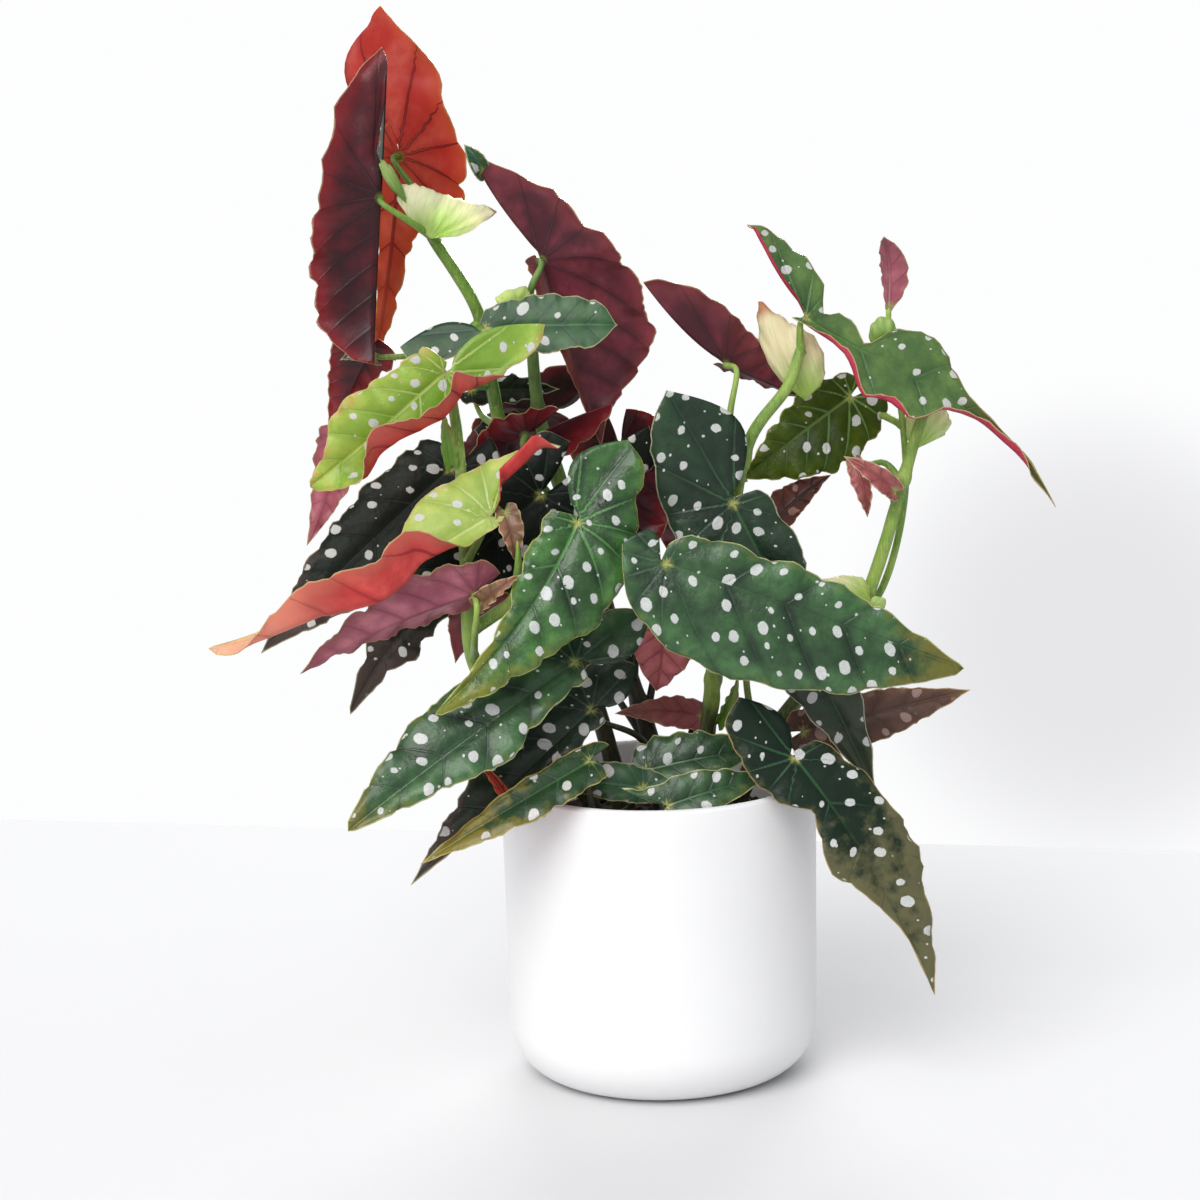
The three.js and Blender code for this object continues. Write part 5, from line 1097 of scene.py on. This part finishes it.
# ---- pot
potSizes = {"radius": 75, "height": 144, "wall": 5, "floor": 7, "foot": 52, "corner": 26, "segments": 128}


def potLine():
    s = potSizes
    bulge = s["radius"] - 1 - s["foot"]
    line = [(0, 0), (s["foot"] - 10, 0), (s["foot"] - 1, 0)]
    for i in range(13):
        a = math.pi / 2 * i / 12
        line.append((s["foot"] + bulge * math.sin(a), s["corner"] * (1 - math.cos(a))))
    line += [(s["radius"] - 1 + n / 8, s["corner"] + (s["height"] - 2 - s["corner"]) * n / 8) for n in range(1, 8)]
    middle, half = s["radius"] - s["wall"] / 2, s["wall"] / 2
    for i in range(13):
        a = math.pi * i / 12
        line.append((middle + half * math.cos(a), s["height"] - 2 + 2 * math.sin(a)))
    for i in range(9):
        line.append((s["radius"] - s["wall"] - i / 9, s["height"] - 4 - (s["height"] - 4 - s["corner"]) * i / 8))
    for i in range(9, -1, -1):
        a = math.pi / 2 * i / 10
        line.append((s["foot"] + (bulge - s["wall"]) * math.sin(a),
                     s["floor"] + (s["corner"] - s["floor"]) * (1 - math.cos(a))))
    return line + [(0, s["floor"])]


def turned(name, line, segments):
    # the line starts and ends on the axis
    points, rings = [], []
    for r, z in line:
        if r == 0:
            rings.append([len(points)])
            points.append((0, 0, z * mm))
            continue
        rings.append([len(points) + k for k in range(segments)])
        points += [(x * mm, y * mm, z * mm) for x, y in circle(r, segments)]
    return smoothMesh(name, points, ringFaces(rings, segments))


def potGlaze():
    material, tree = startMaterial("white_satin_glaze")
    place = put(tree, "ShaderNodeTexCoord").outputs["Object"]
    broad = cloud(tree, place, 9.0, 2.0)
    fine = cloud(tree, place, 900.0, 2.0)
    white = blend(tree, broad, (0.80, 0.80, 0.80), (0.90, 0.90, 0.905))
    coat(tree, white, fade(tree, broad, 0.3, 0.7, 0.34, 0.42), plus(tree, fine, times(tree, broad, 2.0)), 0.06)
    return material


addPiece("white_pot", turned("white_pot", potLine(), potSizes["segments"]), [potGlaze()], ["pot"])
print("pot ready")

# ---- soil
soilSizes = {"radius": 69.2, "top": 121.5, "plug": [(68.4, 30), (66, 20), (50, 8)], "rings": 46, "turns": 150,
             "crumbs": 260, "roughness": 2.2}


def soilMesh():
    # lumpy top from the middle outwards, then down the side of the plug and across its foot
    s = soilSizes
    random.seed(41)
    turns = s["turns"]
    points = [Vector((0, 0, s["top"]))]
    for i in range(1, s["rings"] + 1):
        sink = 2.5 * (i / s["rings"]) ** 6
        calm = 1 if i < s["rings"] else 0.3
        for x, y in circle(s["radius"] * i / s["rings"], turns):
            lump = noise.fractal(Vector((x * 0.11, y * 0.11, 3.3)), 0.9, 2.1, 5)
            points.append(Vector((x, y, s["top"] - 1.5 - sink + s["roughness"] * lump * calm)))
    for r, z in s["plug"]:
        points += [Vector((x, y, z)) for x, y in circle(r, turns)]
    faces = [(0, 1 + k, 1 + (k + 1) % turns) for k in range(turns)]
    for a in range(1, len(points) - turns, turns):
        faces += [(a + k, a + turns + k, a + turns + (k + 1) % turns, a + (k + 1) % turns) for k in range(turns)]
    faces.append(tuple(len(points) - turns + k for k in reversed(range(turns))))
    return points, faces


def soilCrumbs(points, faces):
    # small clods and bark bits half sunk in the surface; each has a point, three rings and a point
    sides = 7
    for n in range(soilSizes["crumbs"]):
        r = (soilSizes["radius"] - 5) * math.sqrt(random.random())
        a = random.uniform(0, 2 * math.pi)
        size = random.uniform(0.8, 2.6)
        flat = random.uniform(0.35, 0.9)
        centre = Vector((r * math.cos(a), r * math.sin(a), soilSizes["top"] - 1.2 + random.uniform(-0.8, 0.8)))
        spin = Matrix.Rotation(random.uniform(0, 3), 3, Vector((random.random(), random.random(), 1)).normalized())
        first = len(points)
        for ring, level in ((0.0, -1), (0.8, -0.6), (1.0, 0), (0.75, 0.6), (0.0, 1)):
            for x, y in circle(ring, sides if ring else 1):
                p = Vector((x, y * 0.7, level * flat)) * size
                points.append(centre + spin @ (p * random.uniform(0.8, 1.15)))
        rings = [[first + 1 + sides * i + k for k in range(sides)] for i in range(3)]
        faces += ringFaces([[first], *rings, [first + 1 + 3 * sides]], sides)


def soilEarth():
    material, tree = startMaterial("potting_soil")
    place = put(tree, "ShaderNodeTexCoord").outputs["Object"]
    grain = cloud(tree, place, 700.0, 6.0, 0.7)
    broad = cloud(tree, place, 60.0, 3.0)
    colour = blend(tree, fade(tree, grain, 0.3, 0.75), (0.008, 0.005, 0.003), (0.055, 0.034, 0.022))
    colour = blend(tree, fade(tree, broad, 0.5, 0.75, 0.0, 0.5), colour, (0.075, 0.045, 0.026))
    bits = put(tree, "ShaderNodeTexVoronoi", inputs={"Vector": place, "Scale": 330.0})
    pick = put(tree, "ShaderNodeSeparateColor", inputs={0: bits.outputs["Color"]}).outputs[0]
    pale = times(tree, fade(tree, bits.outputs["Distance"], 0.3, 0.2), calc(tree, "GREATER_THAN", pick, 0.93))
    colour = blend(tree, pale, colour, (0.45, 0.42, 0.36))
    coat(tree, colour, 0.92, grain, 1.2)
    return material


soilPoints, soilFaces = soilMesh()
soilCrumbs(soilPoints, soilFaces)
earth = smoothMesh("soil_surface", [p * mm for p in soilPoints], soilFaces)
addPiece("soil_surface", earth, [soilEarth()], ["soil"])
print("soil ready")

# ---- floor, light and camera
studio = {
    "floor": [(-1.3, -1.4), (1.5, -1.4), (1.214, 0.177), (-1.3, 0.696)],    # far edge as in the photo
    "floorColour": (0.69, 0.69, 0.697), "wall": (0.985, 0.988, 0.995),
    "wallShade": (0.80, 0.80, 0.82), "shadeAt": (0.153, 0.969, -0.195),     # painted soft shade low on the right of the wall, seen only by the camera
    "bright": (1.12, 1.13, 1.16), "dim": (0.46, 0.48, 0.52), "brightFrom": (-0.45, -0.35, 0.82),
    "strength": 0.68,
}
cameraSpot = {"target": (-0.0255, 0.0, 0.2285), "distance": 1.5, "down": 10.5, "roll": 1.5, "lens": 95.4}


def addFloor():
    mesh = bpy.data.meshes.new("floor")
    mesh.from_pydata([(x, y, 0) for x, y in studio["floor"]], [], [(0, 1, 2, 3)])
    floor = addObject("floor", mesh)
    material, tree = startMaterial("pale_floor")
    place = put(tree, "ShaderNodeTexCoord").outputs["Object"]
    faint = cloud(tree, place, 3.0, 4.0, 0.6)
    pale = studio["floorColour"]
    coat(tree, blend(tree, faint, tuple(c * 0.985 for c in pale), pale), 0.75, shine=0.2)
    mesh.materials.append(material)


def addWorld():
    # bright above and to the front left, dimmer low and to the right; plain white where the camera looks, apart from
    # a painted soft shade low on the right
    world = bpy.data.worlds.new("studio")
    world.use_nodes = True
    bpy.context.scene.world = world
    tree = world.node_tree
    lit = tree.nodes["Background"]
    way = put(tree, "ShaderNodeTexCoord").outputs["Generated"]
    toLight = put(tree, "ShaderNodeVectorMath", {"operation": "DOT_PRODUCT"}, {0: way, 1: studio["brightFrom"]})
    share = fade(tree, toLight.outputs["Value"], -0.5, 0.9)
    feed(tree, lit.inputs["Color"], blend(tree, share, studio["dim"], studio["bright"]))
    lit.inputs["Strength"].default_value = studio["strength"]
    toShade = put(tree, "ShaderNodeVectorMath", {"operation": "DOT_PRODUCT"}, {0: way, 1: studio["shadeAt"]})
    # painted shade on the backdrop, low on the right
    paintedShade = fade(tree, toShade.outputs["Value"], 0.9968, 1.0)
    seen = put(tree, "ShaderNodeBackground", inputs={"Strength": 1.0})
    feed(tree, seen.inputs["Color"], blend(tree, paintedShade, studio["wall"], studio["wallShade"]))
    path = put(tree, "ShaderNodeLightPath")
    mixed = put(tree, "ShaderNodeMixShader", inputs={"Fac": path.outputs["Is Camera Ray"]})
    tree.links.new(lit.outputs[0], mixed.inputs[1])
    tree.links.new(seen.outputs[0], mixed.inputs[2])
    tree.links.new(mixed.outputs[0], tree.nodes["World Output"].inputs[0])


def aimLight(name, light, place, target):
    holder = addObject(name, light)
    holder.location = place
    holder.rotation_euler = (Vector(place) - Vector(target)).to_track_quat("Z", "Y").to_euler()


def addSun(name, fromWay, strength, softness, colour=(1, 1, 1)):
    sun = bpy.data.lights.new(name, "SUN")
    sun.energy = strength
    sun.angle = math.radians(softness)
    sun.color = colour
    aimLight(name, sun, Vector(fromWay) * 2, (0, 0, 0))


def addSpot(name, place, target, power, cone):
    # narrow soft light through the red blade at the top
    spot = bpy.data.lights.new(name, "SPOT")
    spot.energy, spot.shadow_soft_size = power, 0.1
    spot.spot_size, spot.spot_blend = math.radians(cone), 1.0
    aimLight(name, spot, place, target)


def addCamera():
    spot = cameraSpot
    down, roll = math.radians(spot["down"]), math.radians(spot["roll"])
    forward = Vector((0, math.cos(down), -math.sin(down)))
    level, lift = Vector((1, 0, 0)), Vector((0, math.sin(down), math.cos(down)))
    right = level * math.cos(roll) - lift * math.sin(roll)
    up = lift * math.cos(roll) + level * math.sin(roll)
    place = Vector(spot["target"]) - forward * spot["distance"]
    data = bpy.data.cameras.new("camera")
    data.lens, data.sensor_width = spot["lens"], 36
    camera = addObject("camera", data)
    camera.matrix_world = Matrix((
        (right.x, up.x, -forward.x, place.x), (right.y, up.y, -forward.y, place.y),
        (right.z, up.z, -forward.z, place.z), (0, 0, 0, 1)))
    bpy.context.scene.camera = camera


addFloor()
addWorld()
addSun("key", (-0.45, -0.9, 0.95), 2.15, 42, (1.0, 0.99, 0.97))
addSun("back", (0.1, 0.92, 0.42), 1.6, 40)
addSpot("crown", (0.22, 0.75, 0.72), (-0.125, 0.02, 0.385), 200, 17)
addCamera()
bpy.context.scene.view_settings.view_transform = "Standard"
